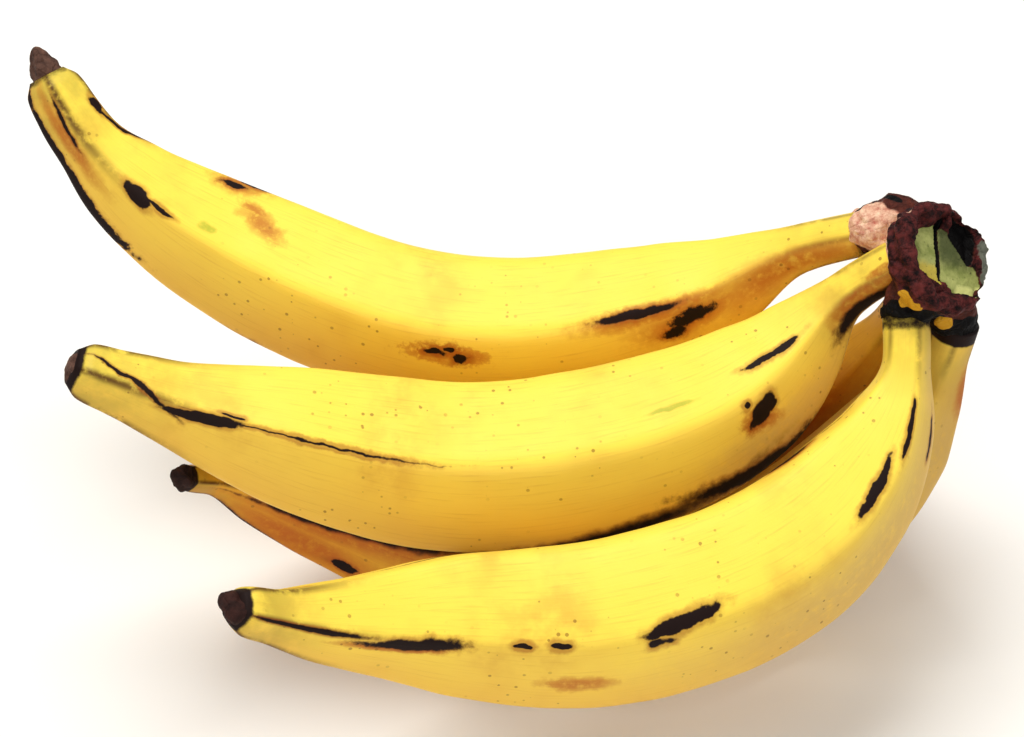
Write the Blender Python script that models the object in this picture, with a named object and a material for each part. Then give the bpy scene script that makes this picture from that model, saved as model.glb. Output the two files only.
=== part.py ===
"""A cut hand of five plantains, lying on a flat surface as it was picked.

Five fruits grow from one crown in two rows: three in the upper row, and two below them whose
bellies touch the ground. Units are metres and +Z is up. The ground is the plane z = 0, and the
origin is under the middle of the hand.
"""

from dataclasses import dataclass

import bmesh
import bpy
import numpy as np
from mathutils import Matrix, Vector

MM = 0.001

# Fruit bodies
STATIONS = 30  # rings along a fruit
RIDGES = 5  # blunt edges along a fruit
SIDES = 4 * RIDGES  # corners of each ring
NECK_RADIUS = 6.9 * MM  # the stalk end of every fruit
RIDGE_HEIGHT = 0.035  # of the radius, on the full body
RIDGE_START = 0.3  # of the belly's radius, where the ridges begin to rise
RIDGE_RISE = 0.5  # of the belly's radius, over which they reach their height
RING_CROWDING = 0.055  # how much closer the rings stand at both ends
PATH_SAMPLES = 400
PATH_REFINEMENT = 4  # finer steps for each sample while the path's length is measured
KNOT_POWER = 0.75  # of the distance between two points of a path, for its knots

# Crown
JOINT_GAP = 0.3 * MM  # between a stalk and the crown
CUT_CENTRE = Vector((129.0, 13.0, 124.0)) * MM
CUT_NORMAL = Vector((0.55, -0.40, 0.73)).normalized()
CUSHION_PROFILE = (  # distance behind the cut face, radius
    (0.0, 15.5 * MM),
    (2.0 * MM, 16.5 * MM),
    (6.0 * MM, 16.0 * MM),
    (9.0 * MM, 13.0 * MM),
    (11.0 * MM, 9.0 * MM),
)
CUSHION_SIDES = 32
STUB_RADIUS = 7.4 * MM  # at the fruit's neck
HEEL_RADIUS = 8.6 * MM  # where the stub enters the cushion
STUB_RINGS = 6
STUB_SIDES = 24
SLEEVE_RADIUS = 7.5 * MM  # room around the middle neck, which stands between two stubs
SLEEVE_LENGTH = 14.0 * MM
SLEEVE_BITE = 0.1 * MM  # into the end of the neck's own stub

# Ground contact
GROUND_SIZE = 0.5
GROUND_DEPTH = 0.05


@dataclass(frozen=True)
class Fruit:
    """One fruit: the line through its middle, from stalk to flower end, and its girth."""

    name: str
    heel_mm: tuple  # where its stalk enters the crown's cushion
    path_mm: tuple  # points by hand along the middle line
    belly_radius: float
    tip_radius: float
    fullness: float  # how far the fat part reaches towards the tip, as a fraction of the length
    colour: tuple
    crowded: bool = False  # whether its neck stands between two stubs of the crown


FRUITS = (
    Fruit(
        "plantain_upper_left",
        (119, 34, 120),
        (
            (106, 37, 113), (90, 42, 103), (73, 44, 90), (44, 45, 76), (0, 47, 67),
            (-39, 55, 70), (-76, 67, 81), (-107, 75, 99), (-127, 83, 118), (-139, 94, 136),
        ),
        belly_radius=23.2 * MM,
        tip_radius=9.5 * MM,
        fullness=0.03,
        colour=(0.86, 0.60, 0.06),
    ),
    Fruit(
        "plantain_upper_middle",
        (123, 18, 118),
        (
            (116, 20, 115), (103, 20, 103), (87, 13, 86), (60, -1, 74), (18, -11, 68),
            (-21, -12, 68), (-57, -11, 78), (-89, -11, 91), (-109, -11, 102), (-123, -11, 110),
        ),
        belly_radius=24.8 * MM,
        tip_radius=9.0 * MM,
        fullness=0.0,
        colour=(0.86, 0.62, 0.08),
        crowded=True,
    ),
    Fruit(
        "plantain_upper_right",
        (124, 11, 116),
        (
            (119, 5, 109), (118, -8, 97), (109, -24, 82), (85, -46, 67), (53, -61, 61),
            (17, -67, 58), (-17, -71, 64), (-42, -79, 74), (-59, -87, 85), (-73, -94, 98),
        ),
        belly_radius=23.8 * MM,
        tip_radius=7.5 * MM,
        fullness=-0.02,
        colour=(0.88, 0.66, 0.10),
    ),
    Fruit(
        "plantain_lower_left",
        (124, 21, 112),
        (
            (126, 27, 99), (118, 33, 72), (97, 42, 36), (59, 32, 23.5), (16, 6, 20.5),
            (-15, -4, 21.5), (-44, -1, 29), (-60, -1, 37), (-80, -6, 54), (-95, -23, 75),
        ),
        belly_radius=22.2 * MM,
        tip_radius=4.5 * MM,
        fullness=-0.02,
        colour=(0.70, 0.40, 0.05),
    ),
    Fruit(
        "plantain_lower_right",
        (130, 15, 113),
        (
            (136, 14, 98), (133, 12, 85), (125, 8, 68), (113, 3, 49), (97, -2, 31),
            (76, -10, 20), (47, -26, 23), (22, -32, 29), (1, -36, 38), (-13, -41, 47),
        ),
        belly_radius=21.5 * MM,
        tip_radius=6.5 * MM,
        fullness=-0.02,
        colour=(0.80, 0.55, 0.10),
    ),
)


def clear_scene():
    for obj in list(bpy.data.objects):
        bpy.data.objects.remove(obj, do_unlink=True)


def new_collection(name):
    collection = bpy.data.collections.new(name)
    bpy.context.scene.collection.children.link(collection)
    return collection


def principled(name, colour, roughness):
    material = bpy.data.materials.new(name)
    material.use_nodes = True
    shader = material.node_tree.nodes["Principled BSDF"]
    shader.inputs["Base Color"].default_value = (*colour, 1.0)
    shader.inputs["Roughness"].default_value = roughness
    shader.inputs["Metallic"].default_value = 0.0
    return material


def spline_through(points, samples):
    """Points at even distances along the smooth (natural cubic) curve through the given ones."""
    chords = np.linalg.norm(np.diff(points, axis=0), axis=1)
    knots = np.concatenate([[0.0], np.cumsum(chords**KNOT_POWER)])
    step = np.diff(knots)
    count = len(points)
    system = np.eye(count)
    right_side = np.zeros_like(points)
    for i in range(1, count - 1):
        system[i, i - 1 : i + 2] = step[i - 1], 2 * (step[i - 1] + step[i]), step[i]
        rise = (points[i + 1] - points[i]) / step[i] - (points[i] - points[i - 1]) / step[i - 1]
        right_side[i] = 6 * rise
    bend = np.linalg.solve(system, right_side)
    at = np.linspace(0.0, knots[-1], PATH_REFINEMENT * samples)
    span = np.clip(np.searchsorted(knots, at, side="right") - 1, 0, count - 2)
    width = step[span][:, None]
    after = (at - knots[span])[:, None]
    before = width - after
    curve = (bend[span] * before**3 + bend[span + 1] * after**3) / (6 * width)
    curve += (points[span] / width - bend[span] * width / 6) * before
    curve += (points[span + 1] / width - bend[span + 1] * width / 6) * after
    length = np.concatenate([[0.0], np.cumsum(np.linalg.norm(np.diff(curve, axis=0), axis=1))])
    even = np.linspace(0.0, length[-1], samples)
    return np.stack([np.interp(even, length, curve[:, axis]) for axis in range(3)], axis=1)


def monotone(knots, values, at):
    """Values at `at` on the smooth curve through the knots that has no bulge between them."""
    knots = np.asarray(knots, float)
    values = np.asarray(values, float)
    step = np.diff(knots)
    slope = np.diff(values) / step
    tangent = np.zeros_like(values)
    for i in range(1, len(values) - 1):
        if slope[i - 1] * slope[i] > 0:
            near = 2 * step[i] + step[i - 1]
            far = step[i] + 2 * step[i - 1]
            tangent[i] = (near + far) / (near / slope[i - 1] + far / slope[i])
    tangent[0] = slope[0]
    tangent[-1] = slope[-1]
    span = np.clip(np.searchsorted(knots, at, side="right") - 1, 0, len(step) - 1)
    t = (at - knots[span]) / step[span]
    value = values[span] * (1 + 2 * t) * (1 - t) ** 2 + values[span + 1] * t**2 * (3 - 2 * t)
    value += step[span] * (tangent[span] * t * (1 - t) ** 2 - tangent[span + 1] * t**2 * (1 - t))
    return value


def radius_along(fruit, at):
    """The fruit's radius at each fraction of its length: a neck, a quick shoulder, a long taper."""
    belly = fruit.belly_radius
    tip = fruit.tip_radius
    late = fruit.fullness
    profile = (
        (0.0, NECK_RADIUS),
        (0.05, 1.02 * NECK_RADIUS),
        (0.13, 0.55 * belly),
        (0.21, 0.80 * belly),
        (0.33, 0.96 * belly),
        (0.46, belly),
        (0.60 + late, 0.97 * belly),
        (0.73 + late, 0.84 * belly),
        (0.83 + late, 0.62 * belly),
        (0.90 + late / 2, 0.45 * belly),
        (0.955, tip),
        (0.985, 0.85 * tip),
        (1.0, 0.45 * tip),
    )
    return monotone(*zip(*profile), at)


def sides_along(tangents):
    """Two directions across the path at each point, turned as little as possible along it.

    At the middle of the fruit the first of them points up.
    """
    count = len(tangents)
    first = np.zeros_like(tangents)
    middle = count // 2
    start = np.array([0.0, 0.0, 1.0])
    for order in (range(middle, count), range(middle, -1, -1)):
        side = start
        for i in order:
            side = side - tangents[i] * (side @ tangents[i])
            side = side / np.linalg.norm(side)
            first[i] = side
    return first, np.cross(tangents, first)


def station_fractions():
    """Where the rings stand: closer together at the shoulder and the tip."""
    even = np.linspace(0.0, 1.0, STATIONS)
    return even - RING_CROWDING * np.sin(2 * np.pi * even)


def fruit_rings(fruit):
    """The corners of every ring, and the path's start and its direction there."""
    path = spline_through(np.array(fruit.path_mm, float) * MM, PATH_SAMPLES)
    tangents = np.gradient(path, axis=0)
    tangents /= np.linalg.norm(tangents, axis=1, keepdims=True)
    first, second = sides_along(tangents)
    fractions = np.linspace(0.0, 1.0, PATH_SAMPLES)
    around = np.arange(SIDES) * 2 * np.pi / SIDES
    rings = []
    for fraction in station_fractions():
        centre, upper, side = (
            np.array([np.interp(fraction, fractions, line[:, axis]) for axis in range(3)])
            for line in (path, first, second)
        )
        radius = float(radius_along(fruit, np.array([fraction]))[0])
        body = np.clip((radius / fruit.belly_radius - RIDGE_START) / RIDGE_RISE, 0.0, 1.0)
        reach = radius * (1 + RIDGE_HEIGHT * body * np.cos(RIDGES * around))
        spokes = np.cos(around)[:, None] * upper + np.sin(around)[:, None] * side
        ring = centre + reach[:, None] * spokes
        rings.append(ring)
    return rings, Vector(path[0]), Vector(tangents[0])


def loft(name, rings, material, collection):
    """A closed skin over the rings, with a flat face at each end."""
    shape = bmesh.new()
    loops = [[shape.verts.new(corner) for corner in ring] for ring in rings]
    for near, far in zip(loops, loops[1:]):
        for i in range(len(near)):
            j = (i + 1) % len(near)
            shape.faces.new((near[i], near[j], far[j], far[i]))
    shape.faces.new(list(reversed(loops[0])))
    shape.faces.new(loops[-1])
    bmesh.ops.recalc_face_normals(shape, faces=shape.faces)
    mesh = bpy.data.meshes.new(name)
    shape.to_mesh(mesh)
    shape.free()
    mesh.shade_smooth()
    mesh.materials.append(material)
    obj = bpy.data.objects.new(name, mesh)
    collection.objects.link(obj)
    return obj


def ring_across(centre, direction, radius, sides):
    """A circle of corners around the centre, square to the direction."""
    turn = Vector(direction).to_track_quat("Z", "Y").to_matrix()
    angles = np.arange(sides) * 2 * np.pi / sides
    flat = np.stack([np.cos(angles), np.sin(angles), np.zeros(sides)], axis=1) * radius
    return flat @ np.array(turn).T + np.array(centre)


def cushion_rings():
    """The rings of the cushion, from its back to the flat face where the hand was cut."""
    return [
        ring_across(CUT_CENTRE - CUT_NORMAL * depth, CUT_NORMAL, radius, CUSHION_SIDES)
        for depth, radius in reversed(CUSHION_PROFILE)
    ]


def stub_rings(fruit, start, direction):
    """The rings of one stub: it leaves the cushion and bends into line with the fruit's neck."""
    heel = Vector(fruit.heel_mm) * MM
    end = start - direction * JOINT_GAP
    reach = (end - heel).length
    bend = end - direction * reach / 2
    rings = []
    for t in np.linspace(0.0, 1.0, STUB_RINGS):
        centre = heel.lerp(bend, t).lerp(bend.lerp(end, t), t)
        along = (bend - heel).lerp(end - bend, t)
        radius = HEEL_RADIUS + (STUB_RADIUS - HEEL_RADIUS) * t
        rings.append(ring_across(centre, along, radius, STUB_SIDES))
    return rings


def join(obj, tool, operation):
    """Joins or cuts the object with another, which then serves only as a tool."""
    tool.hide_render = True
    tool.display_type = "WIRE"
    step = obj.modifiers.new(tool.name, "BOOLEAN")
    step.operation = operation
    step.object = tool


def make_crown(roots, parts, cutters):
    """The crown: a cushion with the flat face where it was cut, and one stub for each fruit."""
    bark = principled("crown_bark", (0.16, 0.09, 0.05), 0.8)
    crown = loft("crown", cushion_rings(), bark, parts)
    for fruit, start, direction in roots:
        stub = loft(f"{fruit.name}_stub", stub_rings(fruit, start, direction), bark, cutters)
        join(crown, stub, "UNION")
    for fruit, start, direction in roots:
        if not fruit.crowded:
            continue
        near = start - direction * (JOINT_GAP + SLEEVE_BITE)
        far = near + direction * SLEEVE_LENGTH
        rings = [ring_across(end, direction, SLEEVE_RADIUS, STUB_SIDES) for end in (near, far)]
        join(crown, loft(f"{fruit.name}_sleeve", rings, bark, cutters), "DIFFERENCE")
    return crown


def make_ground_cutter(cutters):
    """A block whose top is the ground: it presses the flats on the bellies of the lower fruits."""
    block = bmesh.new()
    size = Matrix.Diagonal((GROUND_SIZE, GROUND_SIZE, GROUND_DEPTH, 1.0))
    lowered = Matrix.Translation((0.0, 0.0, -GROUND_DEPTH / 2))
    bmesh.ops.create_cube(block, size=1.0, matrix=lowered @ size)
    mesh = bpy.data.meshes.new("ground")
    block.to_mesh(mesh)
    block.free()
    ground = bpy.data.objects.new("ground", mesh)
    cutters.objects.link(ground)
    return ground


def main():
    clear_scene()
    parts = new_collection("plantain_hand")
    cutters = new_collection("cutters")
    ground = make_ground_cutter(cutters)
    ground.hide_render = True
    roots = []
    for fruit in FRUITS:
        rings, start, direction = fruit_rings(fruit)
        roots.append((fruit, start, direction))
        peel = principled(f"{fruit.name}_peel", fruit.colour, 0.45)
        obj = loft(fruit.name, rings, peel, parts)
        if min(ring[:, 2].min() for ring in rings) < 0:
            join(obj, ground, "DIFFERENCE")
    make_crown(roots, parts, cutters)


main()
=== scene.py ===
"""Looks of a cut hand of five plantains: ripe ridged peels, dried flower ends and a woody crown.

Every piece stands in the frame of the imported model, in metres, with +Z up and the ground at z = 0.
"""

import logging
import math
from dataclasses import dataclass, field, replace
from enum import Enum

import bmesh
import bpy
import numpy as np
from mathutils import Matrix, Vector

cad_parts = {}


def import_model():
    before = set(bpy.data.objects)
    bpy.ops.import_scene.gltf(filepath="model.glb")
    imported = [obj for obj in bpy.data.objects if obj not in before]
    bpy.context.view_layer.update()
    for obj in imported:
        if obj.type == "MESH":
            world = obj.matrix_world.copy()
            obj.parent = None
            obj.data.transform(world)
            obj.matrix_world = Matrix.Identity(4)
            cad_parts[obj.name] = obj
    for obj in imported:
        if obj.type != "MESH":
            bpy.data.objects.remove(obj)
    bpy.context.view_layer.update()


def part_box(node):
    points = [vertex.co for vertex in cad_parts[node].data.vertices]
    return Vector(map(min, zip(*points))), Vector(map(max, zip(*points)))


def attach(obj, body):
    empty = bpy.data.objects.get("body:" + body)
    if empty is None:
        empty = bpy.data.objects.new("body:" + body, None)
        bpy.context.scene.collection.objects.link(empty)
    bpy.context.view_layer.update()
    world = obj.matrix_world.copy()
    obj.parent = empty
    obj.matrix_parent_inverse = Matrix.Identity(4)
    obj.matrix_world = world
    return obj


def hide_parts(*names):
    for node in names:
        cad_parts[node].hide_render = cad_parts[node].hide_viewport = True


MM = 0.001
FULL_TURN = 360.0
KNOT_POWER = 0.75
PATH_REFINEMENT = 4
ROOT_BODY = "root"
LOG = logging.getLogger("plantain_hand")


def srgb(red: int, green: int, blue: int) -> tuple[float, float, float, float]:
    """A display colour, 0 to 255 a channel, as the linear colour that shaders use.

    Args:
        red: Red, from 0 to 255.
        green: Green, from 0 to 255.
        blue: Blue, from 0 to 255.

    Returns:
        The linear colour with alpha 1.
    """
    channels = [c / 255 for c in (red, green, blue)]
    linear = [c / 12.92 if c <= 0.04045 else ((c + 0.055) / 1.055) ** 2.4 for c in channels]
    return (linear[0], linear[1], linear[2], 1.0)


# ---------------------------------------------------------------------------------------------
# Curves and noise
# ---------------------------------------------------------------------------------------------


def spline_through(points: np.ndarray, samples: int) -> np.ndarray:
    """Follows the smooth (natural cubic) curve through the given points at even distances.

    Args:
        points: The points, one row each.
        samples: How many points to return.

    Returns:
        The points along the curve, one row each.
    """
    chords = np.linalg.norm(np.diff(points, axis=0), axis=1) ** KNOT_POWER
    knots = np.concatenate([[0.0], np.cumsum(chords)])
    step = np.diff(knots)
    count = len(points)
    system = np.eye(count)
    right_side = np.zeros_like(points)
    for i in range(1, count - 1):
        system[i, i - 1 : i + 2] = step[i - 1], 2 * (step[i - 1] + step[i]), step[i]
        rise = (points[i + 1] - points[i]) / step[i] - (points[i] - points[i - 1]) / step[i - 1]
        right_side[i] = 6 * rise
    bend = np.linalg.solve(system, right_side)
    at = np.linspace(0.0, knots[-1], PATH_REFINEMENT * samples)
    span = np.clip(np.searchsorted(knots, at, side="right") - 1, 0, count - 2)
    width = step[span][:, None]
    after = (at - knots[span])[:, None]
    before = width - after
    curve = (bend[span] * before**3 + bend[span + 1] * after**3) / (6 * width)
    curve += (points[span] / width - bend[span] * width / 6) * before
    curve += (points[span + 1] / width - bend[span + 1] * width / 6) * after
    length = np.concatenate([[0.0], np.cumsum(np.linalg.norm(np.diff(curve, axis=0), axis=1))])
    even = np.linspace(0.0, length[-1], samples)
    return np.stack([np.interp(even, length, curve[:, axis]) for axis in range(3)], axis=1)


def monotone(knots: tuple, values: tuple, at: np.ndarray) -> np.ndarray:
    """Reads the smooth curve through the knots that has no bulge between them.

    Args:
        knots: Increasing places.
        values: The value at each knot.
        at: The places to read.

    Returns:
        The curve's value at each place.
    """
    knots = np.asarray(knots, float)
    values = np.asarray(values, float)
    step = np.diff(knots)
    slope = np.diff(values) / step
    tangent = np.zeros_like(values)
    for i in range(1, len(values) - 1):
        if slope[i - 1] * slope[i] > 0:
            near = 2 * step[i] + step[i - 1]
            far = step[i] + 2 * step[i - 1]
            tangent[i] = (near + far) / (near / slope[i - 1] + far / slope[i])
    tangent[0] = slope[0]
    tangent[-1] = slope[-1]
    span = np.clip(np.searchsorted(knots, at, side="right") - 1, 0, len(step) - 1)
    t = (at - knots[span]) / step[span]
    value = values[span] * (1 + 2 * t) * (1 - t) ** 2 + values[span + 1] * t**2 * (3 - 2 * t)
    value += step[span] * (tangent[span] * t * (1 - t) ** 2 - tangent[span + 1] * t**2 * (1 - t))
    return value


def ease(low: float, high: float, value: np.ndarray) -> np.ndarray:
    """Rises smoothly from 0 at low to 1 at high.

    Args:
        low: Where it is still 0.
        high: Where it reaches 1; it may be below low, to fall instead.
        value: The values to read it at.

    Returns:
        The eased values.
    """
    t = np.clip((value - low) / (high - low), 0.0, 1.0)
    return t * t * (3 - 2 * t)


def unit(vectors: np.ndarray) -> np.ndarray:
    """The vectors along the last axis, each scaled to length 1."""
    return vectors / np.linalg.norm(vectors, axis=-1, keepdims=True)


def edge_distance(x: np.ndarray, y: np.ndarray, outline: tuple) -> np.ndarray:
    """How far points are from an outline, counted as negative inside it.

    Args:
        x: The points' first coordinates.
        y: Their second ones.
        outline: The outline's corners, in order.

    Returns:
        The signed distances.
    """
    nearest = np.full(len(x), np.inf)
    crossings = np.zeros(len(x), int)
    for (ax, ay), (bx, by) in zip(outline, outline[1:] + outline[:1]):
        t = ((x - ax) * (bx - ax) + (y - ay) * (by - ay)) / ((bx - ax) ** 2 + (by - ay) ** 2)
        t = np.clip(t, 0.0, 1.0)
        nearest = np.minimum(nearest, np.hypot(x - ax - t * (bx - ax), y - ay - t * (by - ay)))
        spans = (ay > y) != (by > y)
        rise = by - ay if by != ay else 1e-9
        crossings += spans & (x < ax + (y - ay) * (bx - ax) / rise)
    return np.where(crossings % 2 == 1, -nearest, nearest)


def line_distance(places: np.ndarray, start_mm: tuple, end_mm: tuple) -> np.ndarray:
    """How far points are from a straight line between two places.

    Args:
        places: The points, in metres.
        start_mm: Where the line starts, in millimetres.
        end_mm: Where it ends, in millimetres.

    Returns:
        The distances in millimetres.
    """
    start = np.array(start_mm) * MM
    way = np.array(end_mm) * MM - start
    t = np.clip((places - start) @ way / (way @ way), 0.0, 1.0)
    return np.linalg.norm(places - start - t[:, None] * way, axis=1) / MM


class SoftNoise:
    """Seeded noise in space, between -1 and 1, smooth from one lattice point to the next."""

    CELLS = 24

    def __init__(self, seed: int) -> None:
        """Draws the lattice.

        Args:
            seed: The number that fixes the draw.
        """
        shape = (self.CELLS,) * 3
        self.lattice = np.random.default_rng(seed).uniform(-1.0, 1.0, shape)

    def at(self, points: np.ndarray, size: float) -> np.ndarray:
        """Reads the noise.

        Args:
            points: Places, with x, y and z along the last axis.
            size: The distance between lattice points.

        Returns:
            One value for each place.
        """
        place = points / size
        cell = np.floor(place).astype(int)
        t = place - cell
        t = t * t * (3 - 2 * t)
        total = np.zeros(points.shape[:-1])
        for corner in np.ndindex(2, 2, 2):
            index = (cell + corner) % self.CELLS
            weight = np.prod(np.where(np.array(corner) == 1, t, 1 - t), axis=-1)
            total += weight * self.lattice[index[..., 0], index[..., 1], index[..., 2]]
        return total


# ---------------------------------------------------------------------------------------------
# Meshes
# ---------------------------------------------------------------------------------------------


def loft_mesh(name: str, rings: np.ndarray) -> bpy.types.Mesh:
    """Skins a stack of rings and closes both ends with a fan.

    Args:
        name: The mesh's name.
        rings: Corners, as ring by corner by coordinate.

    Returns:
        The closed mesh, with its corners in ring order and then the two end points.
    """
    count, sides = rings.shape[:2]
    ends = np.stack([rings[0].mean(axis=0), rings[-1].mean(axis=0)])
    corners = np.concatenate([rings.reshape(-1, 3), ends])
    ring, side = np.meshgrid(np.arange(count - 1), np.arange(sides), indexing="ij")
    after = (side + 1) % sides
    near = ring * sides
    quads = np.stack([near + side, near + after, near + sides + after, near + sides + side], axis=-1)
    faces = quads.reshape(-1, 4).tolist()
    first, last = count * sides, count * sides + 1
    for i in range(sides):
        j = (i + 1) % sides
        faces.append([first, j, i])
        faces.append([last, (count - 1) * sides + i, (count - 1) * sides + j])
    mesh = bpy.data.meshes.new(name)
    mesh.from_pydata(corners.tolist(), [], faces)
    fix_normals(mesh)
    mesh.shade_smooth()
    return mesh


def fix_normals(mesh: bpy.types.Mesh) -> None:
    """Turns every face of a closed mesh outwards.

    Args:
        mesh: The mesh, which is changed.
    """
    shape = bmesh.new()
    shape.from_mesh(mesh)
    bmesh.ops.recalc_face_normals(shape, faces=shape.faces)
    shape.to_mesh(mesh)
    shape.free()


def read_corners(mesh: bpy.types.Mesh, what: str) -> np.ndarray:
    """Reads one property of all the corners of a mesh.

    Args:
        mesh: The mesh.
        what: The property: "co" for their places, "normal" for their normals.

    Returns:
        Rows of x, y and z.
    """
    flat = np.empty(len(mesh.vertices) * 3)
    mesh.vertices.foreach_get(what, flat)
    return flat.reshape(-1, 3)


def move_corners(mesh: bpy.types.Mesh, places: np.ndarray) -> None:
    """Puts the mesh's corners at the given places."""
    mesh.vertices.foreach_set("co", places.ravel())
    mesh.update()


def paint(mesh: bpy.types.Mesh, name: str, values: np.ndarray) -> None:
    """Stores one number for each corner, for the materials to read.

    Args:
        mesh: The mesh.
        name: The attribute's name.
        values: One value for each corner.
    """
    layer = mesh.attributes.new(name, "FLOAT", "POINT")
    layer.data.foreach_set("value", np.ascontiguousarray(values, dtype=np.float32))


def piece_from(name: str, mesh: bpy.types.Mesh, material: bpy.types.Material) -> bpy.types.Object:
    """Makes a mesh into a visible piece that rides on the hand.

    Args:
        name: The piece's name.
        mesh: Its mesh.
        material: Its only material.

    Returns:
        The new object.
    """
    mesh.materials.append(material)
    obj = bpy.data.objects.new(name, mesh)
    bpy.context.scene.collection.objects.link(obj)
    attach(obj, ROOT_BODY)
    return obj


# ---------------------------------------------------------------------------------------------
# Shader groups
# ---------------------------------------------------------------------------------------------


Socket = bpy.types.NodeSocket


class NodeBench:
    """Adds and wires nodes in one tree, with the layout kept readable."""

    COLUMN_WIDTH = 190
    ROW_HEIGHT = 170
    ROWS = 6

    def __init__(self, tree: bpy.types.NodeTree) -> None:
        """Starts on a tree.

        Args:
            tree: The material's or group's node tree.
        """
        self.tree = tree
        self.made = 0

    def add(self, kind: str, **settings: object) -> bpy.types.Node:
        """Adds a node.

        Args:
            kind: The node's Blender type.
            **settings: Properties to set on it.

        Returns:
            The node.
        """
        node = self.tree.nodes.new(kind)
        for name, value in settings.items():
            setattr(node, name, value)
        column, row = divmod(self.made, self.ROWS)
        node.location = (self.COLUMN_WIDTH * column, -self.ROW_HEIGHT * row)
        self.made += 1
        return node

    def feed(self, socket: Socket, value: object) -> None:
        """Links a socket to another one, or sets its value.

        Args:
            socket: The input to feed.
            value: The output to link it to, or its constant value.
        """
        if isinstance(value, Socket):
            self.tree.links.new(value, socket)
        else:
            socket.default_value = value

    def math(self, operation: str, first: object, second: object = 0.0, clamp: bool = False) -> Socket:
        """Adds a Math node and returns its result.

        Args:
            operation: The Math node's operation.
            first: The first operand, a number or a socket.
            second: The second operand.
            clamp: Whether the result is kept between 0 and 1.

        Returns:
            The result's socket.
        """
        node = self.add("ShaderNodeMath", operation=operation, use_clamp=clamp)
        self.feed(node.inputs[0], first)
        self.feed(node.inputs[1], second)
        return node.outputs[0]

    def plus(self, first: object, second: object) -> Socket:
        """The socket of the sum."""
        return self.math("ADD", first, second)

    def minus(self, first: object, second: object) -> Socket:
        """The socket of the difference."""
        return self.math("SUBTRACT", first, second)

    def times(self, first: object, second: object) -> Socket:
        """The socket of the product."""
        return self.math("MULTIPLY", first, second)

    def larger(self, first: object, second: object) -> Socket:
        """The socket of the larger of the two."""
        return self.math("MAXIMUM", first, second)

    def swing(self, noise: object, size: object) -> Socket:
        """The socket of a noise value spread over the given size, half of it below zero."""
        return self.times(self.minus(noise, 0.5), size)

    def span(
        self, value: object, low: object, high: object, to_low: float = 0.0, to_high: float = 1.0
    ) -> Socket:
        """Maps a span smoothly onto another.

        Args:
            value: What to map.
            low: The span's start.
            high: The span's end.
            to_low: What the start becomes.
            to_high: What the end becomes.

        Returns:
            The mapped value's socket.
        """
        node = self.add("ShaderNodeMapRange", interpolation_type="SMOOTHSTEP")
        self.feed(node.inputs["Value"], value)
        self.feed(node.inputs["From Min"], low)
        self.feed(node.inputs["From Max"], high)
        node.inputs["To Min"].default_value = to_low
        node.inputs["To Max"].default_value = to_high
        return node.outputs["Result"]

    def noise(self, place: object, scale: float, detail: float = 3.0, roughness: float = 0.55) -> Socket:
        """Adds a noise texture and returns its value, from 0 to 1.

        Args:
            place: Where it is read.
            scale: Its scale, in cells per unit.
            detail: Its octaves.
            roughness: How strong the finer octaves are.

        Returns:
            The noise value's socket.
        """
        node = self.add("ShaderNodeTexNoise")
        self.feed(node.inputs["Vector"], place)
        node.inputs["Scale"].default_value = scale
        node.inputs["Detail"].default_value = detail
        node.inputs["Roughness"].default_value = roughness
        return node.outputs["Fac"]

    def mix(self, share: object, first: object, second: object) -> Socket:
        """Mixes two colours.

        Args:
            share: How much of the second shows.
            first: The colour underneath.
            second: The colour on top.

        Returns:
            The mixed colour's socket.
        """
        node = self.add("ShaderNodeMix", data_type="RGBA")
        node.clamp_factor = True
        self.feed(node.inputs[0], share)
        self.feed(node.inputs[6], first)
        self.feed(node.inputs[7], second)
        return node.outputs[2]

    def group(self, tree: bpy.types.NodeTree, **values: object) -> bpy.types.Node:
        """Places a node group and feeds its inputs.

        Args:
            tree: The group.
            **values: What each input gets, with spaces in its name written as underscores.

        Returns:
            The group node.
        """
        node = self.add("ShaderNodeGroup")
        node.node_tree = tree
        for name, value in values.items():
            self.feed(node.inputs[name.replace("_", " ")], value)
        return node

    def relief(self, height: object, strength: float, depth: float) -> Socket:
        """Turns a height into fine relief.

        Args:
            height: The height; 1 is the full depth.
            strength: How much of the relief shows.
            depth: The full depth, in metres.

        Returns:
            The normal's socket.
        """
        bump = self.add("ShaderNodeBump")
        bump.inputs["Strength"].default_value = strength
        bump.inputs["Distance"].default_value = depth
        self.feed(bump.inputs["Height"], height)
        return bump.outputs[0]

    def surface(self, colour: object, roughness: object, normal: Socket, shine: float) -> bpy.types.Node:
        """Puts a surface shader on the material's output.

        Args:
            colour: Its base colour.
            roughness: Its roughness.
            normal: Its relief.
            shine: Its specular level.

        Returns:
            The surface shader.
        """
        shader = self.add("ShaderNodeBsdfPrincipled")
        self.feed(shader.inputs["Base Color"], colour)
        self.feed(shader.inputs["Roughness"], roughness)
        self.feed(shader.inputs["Normal"], normal)
        shader.inputs["Specular IOR Level"].default_value = shine
        out = self.add("ShaderNodeOutputMaterial")
        self.feed(out.inputs["Surface"], shader.outputs[0])
        return shader


def new_group(name: str, inputs: dict, outputs: dict) -> tuple[NodeBench, bpy.types.Node, bpy.types.Node]:
    """Starts a shader node group.

    Args:
        name: The group's name.
        inputs: Input names and their socket types.
        outputs: Output names and their socket types.

    Returns:
        A bench on the group, its input node and its output node.
    """
    tree = bpy.data.node_groups.new(name, "ShaderNodeTree")
    for label, kind in inputs.items():
        tree.interface.new_socket(label, in_out="INPUT", socket_type=kind)
    for label, kind in outputs.items():
        tree.interface.new_socket(label, in_out="OUTPUT", socket_type=kind)
    bench = NodeBench(tree)
    return bench, bench.add("NodeGroupInput"), bench.add("NodeGroupOutput")


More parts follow.
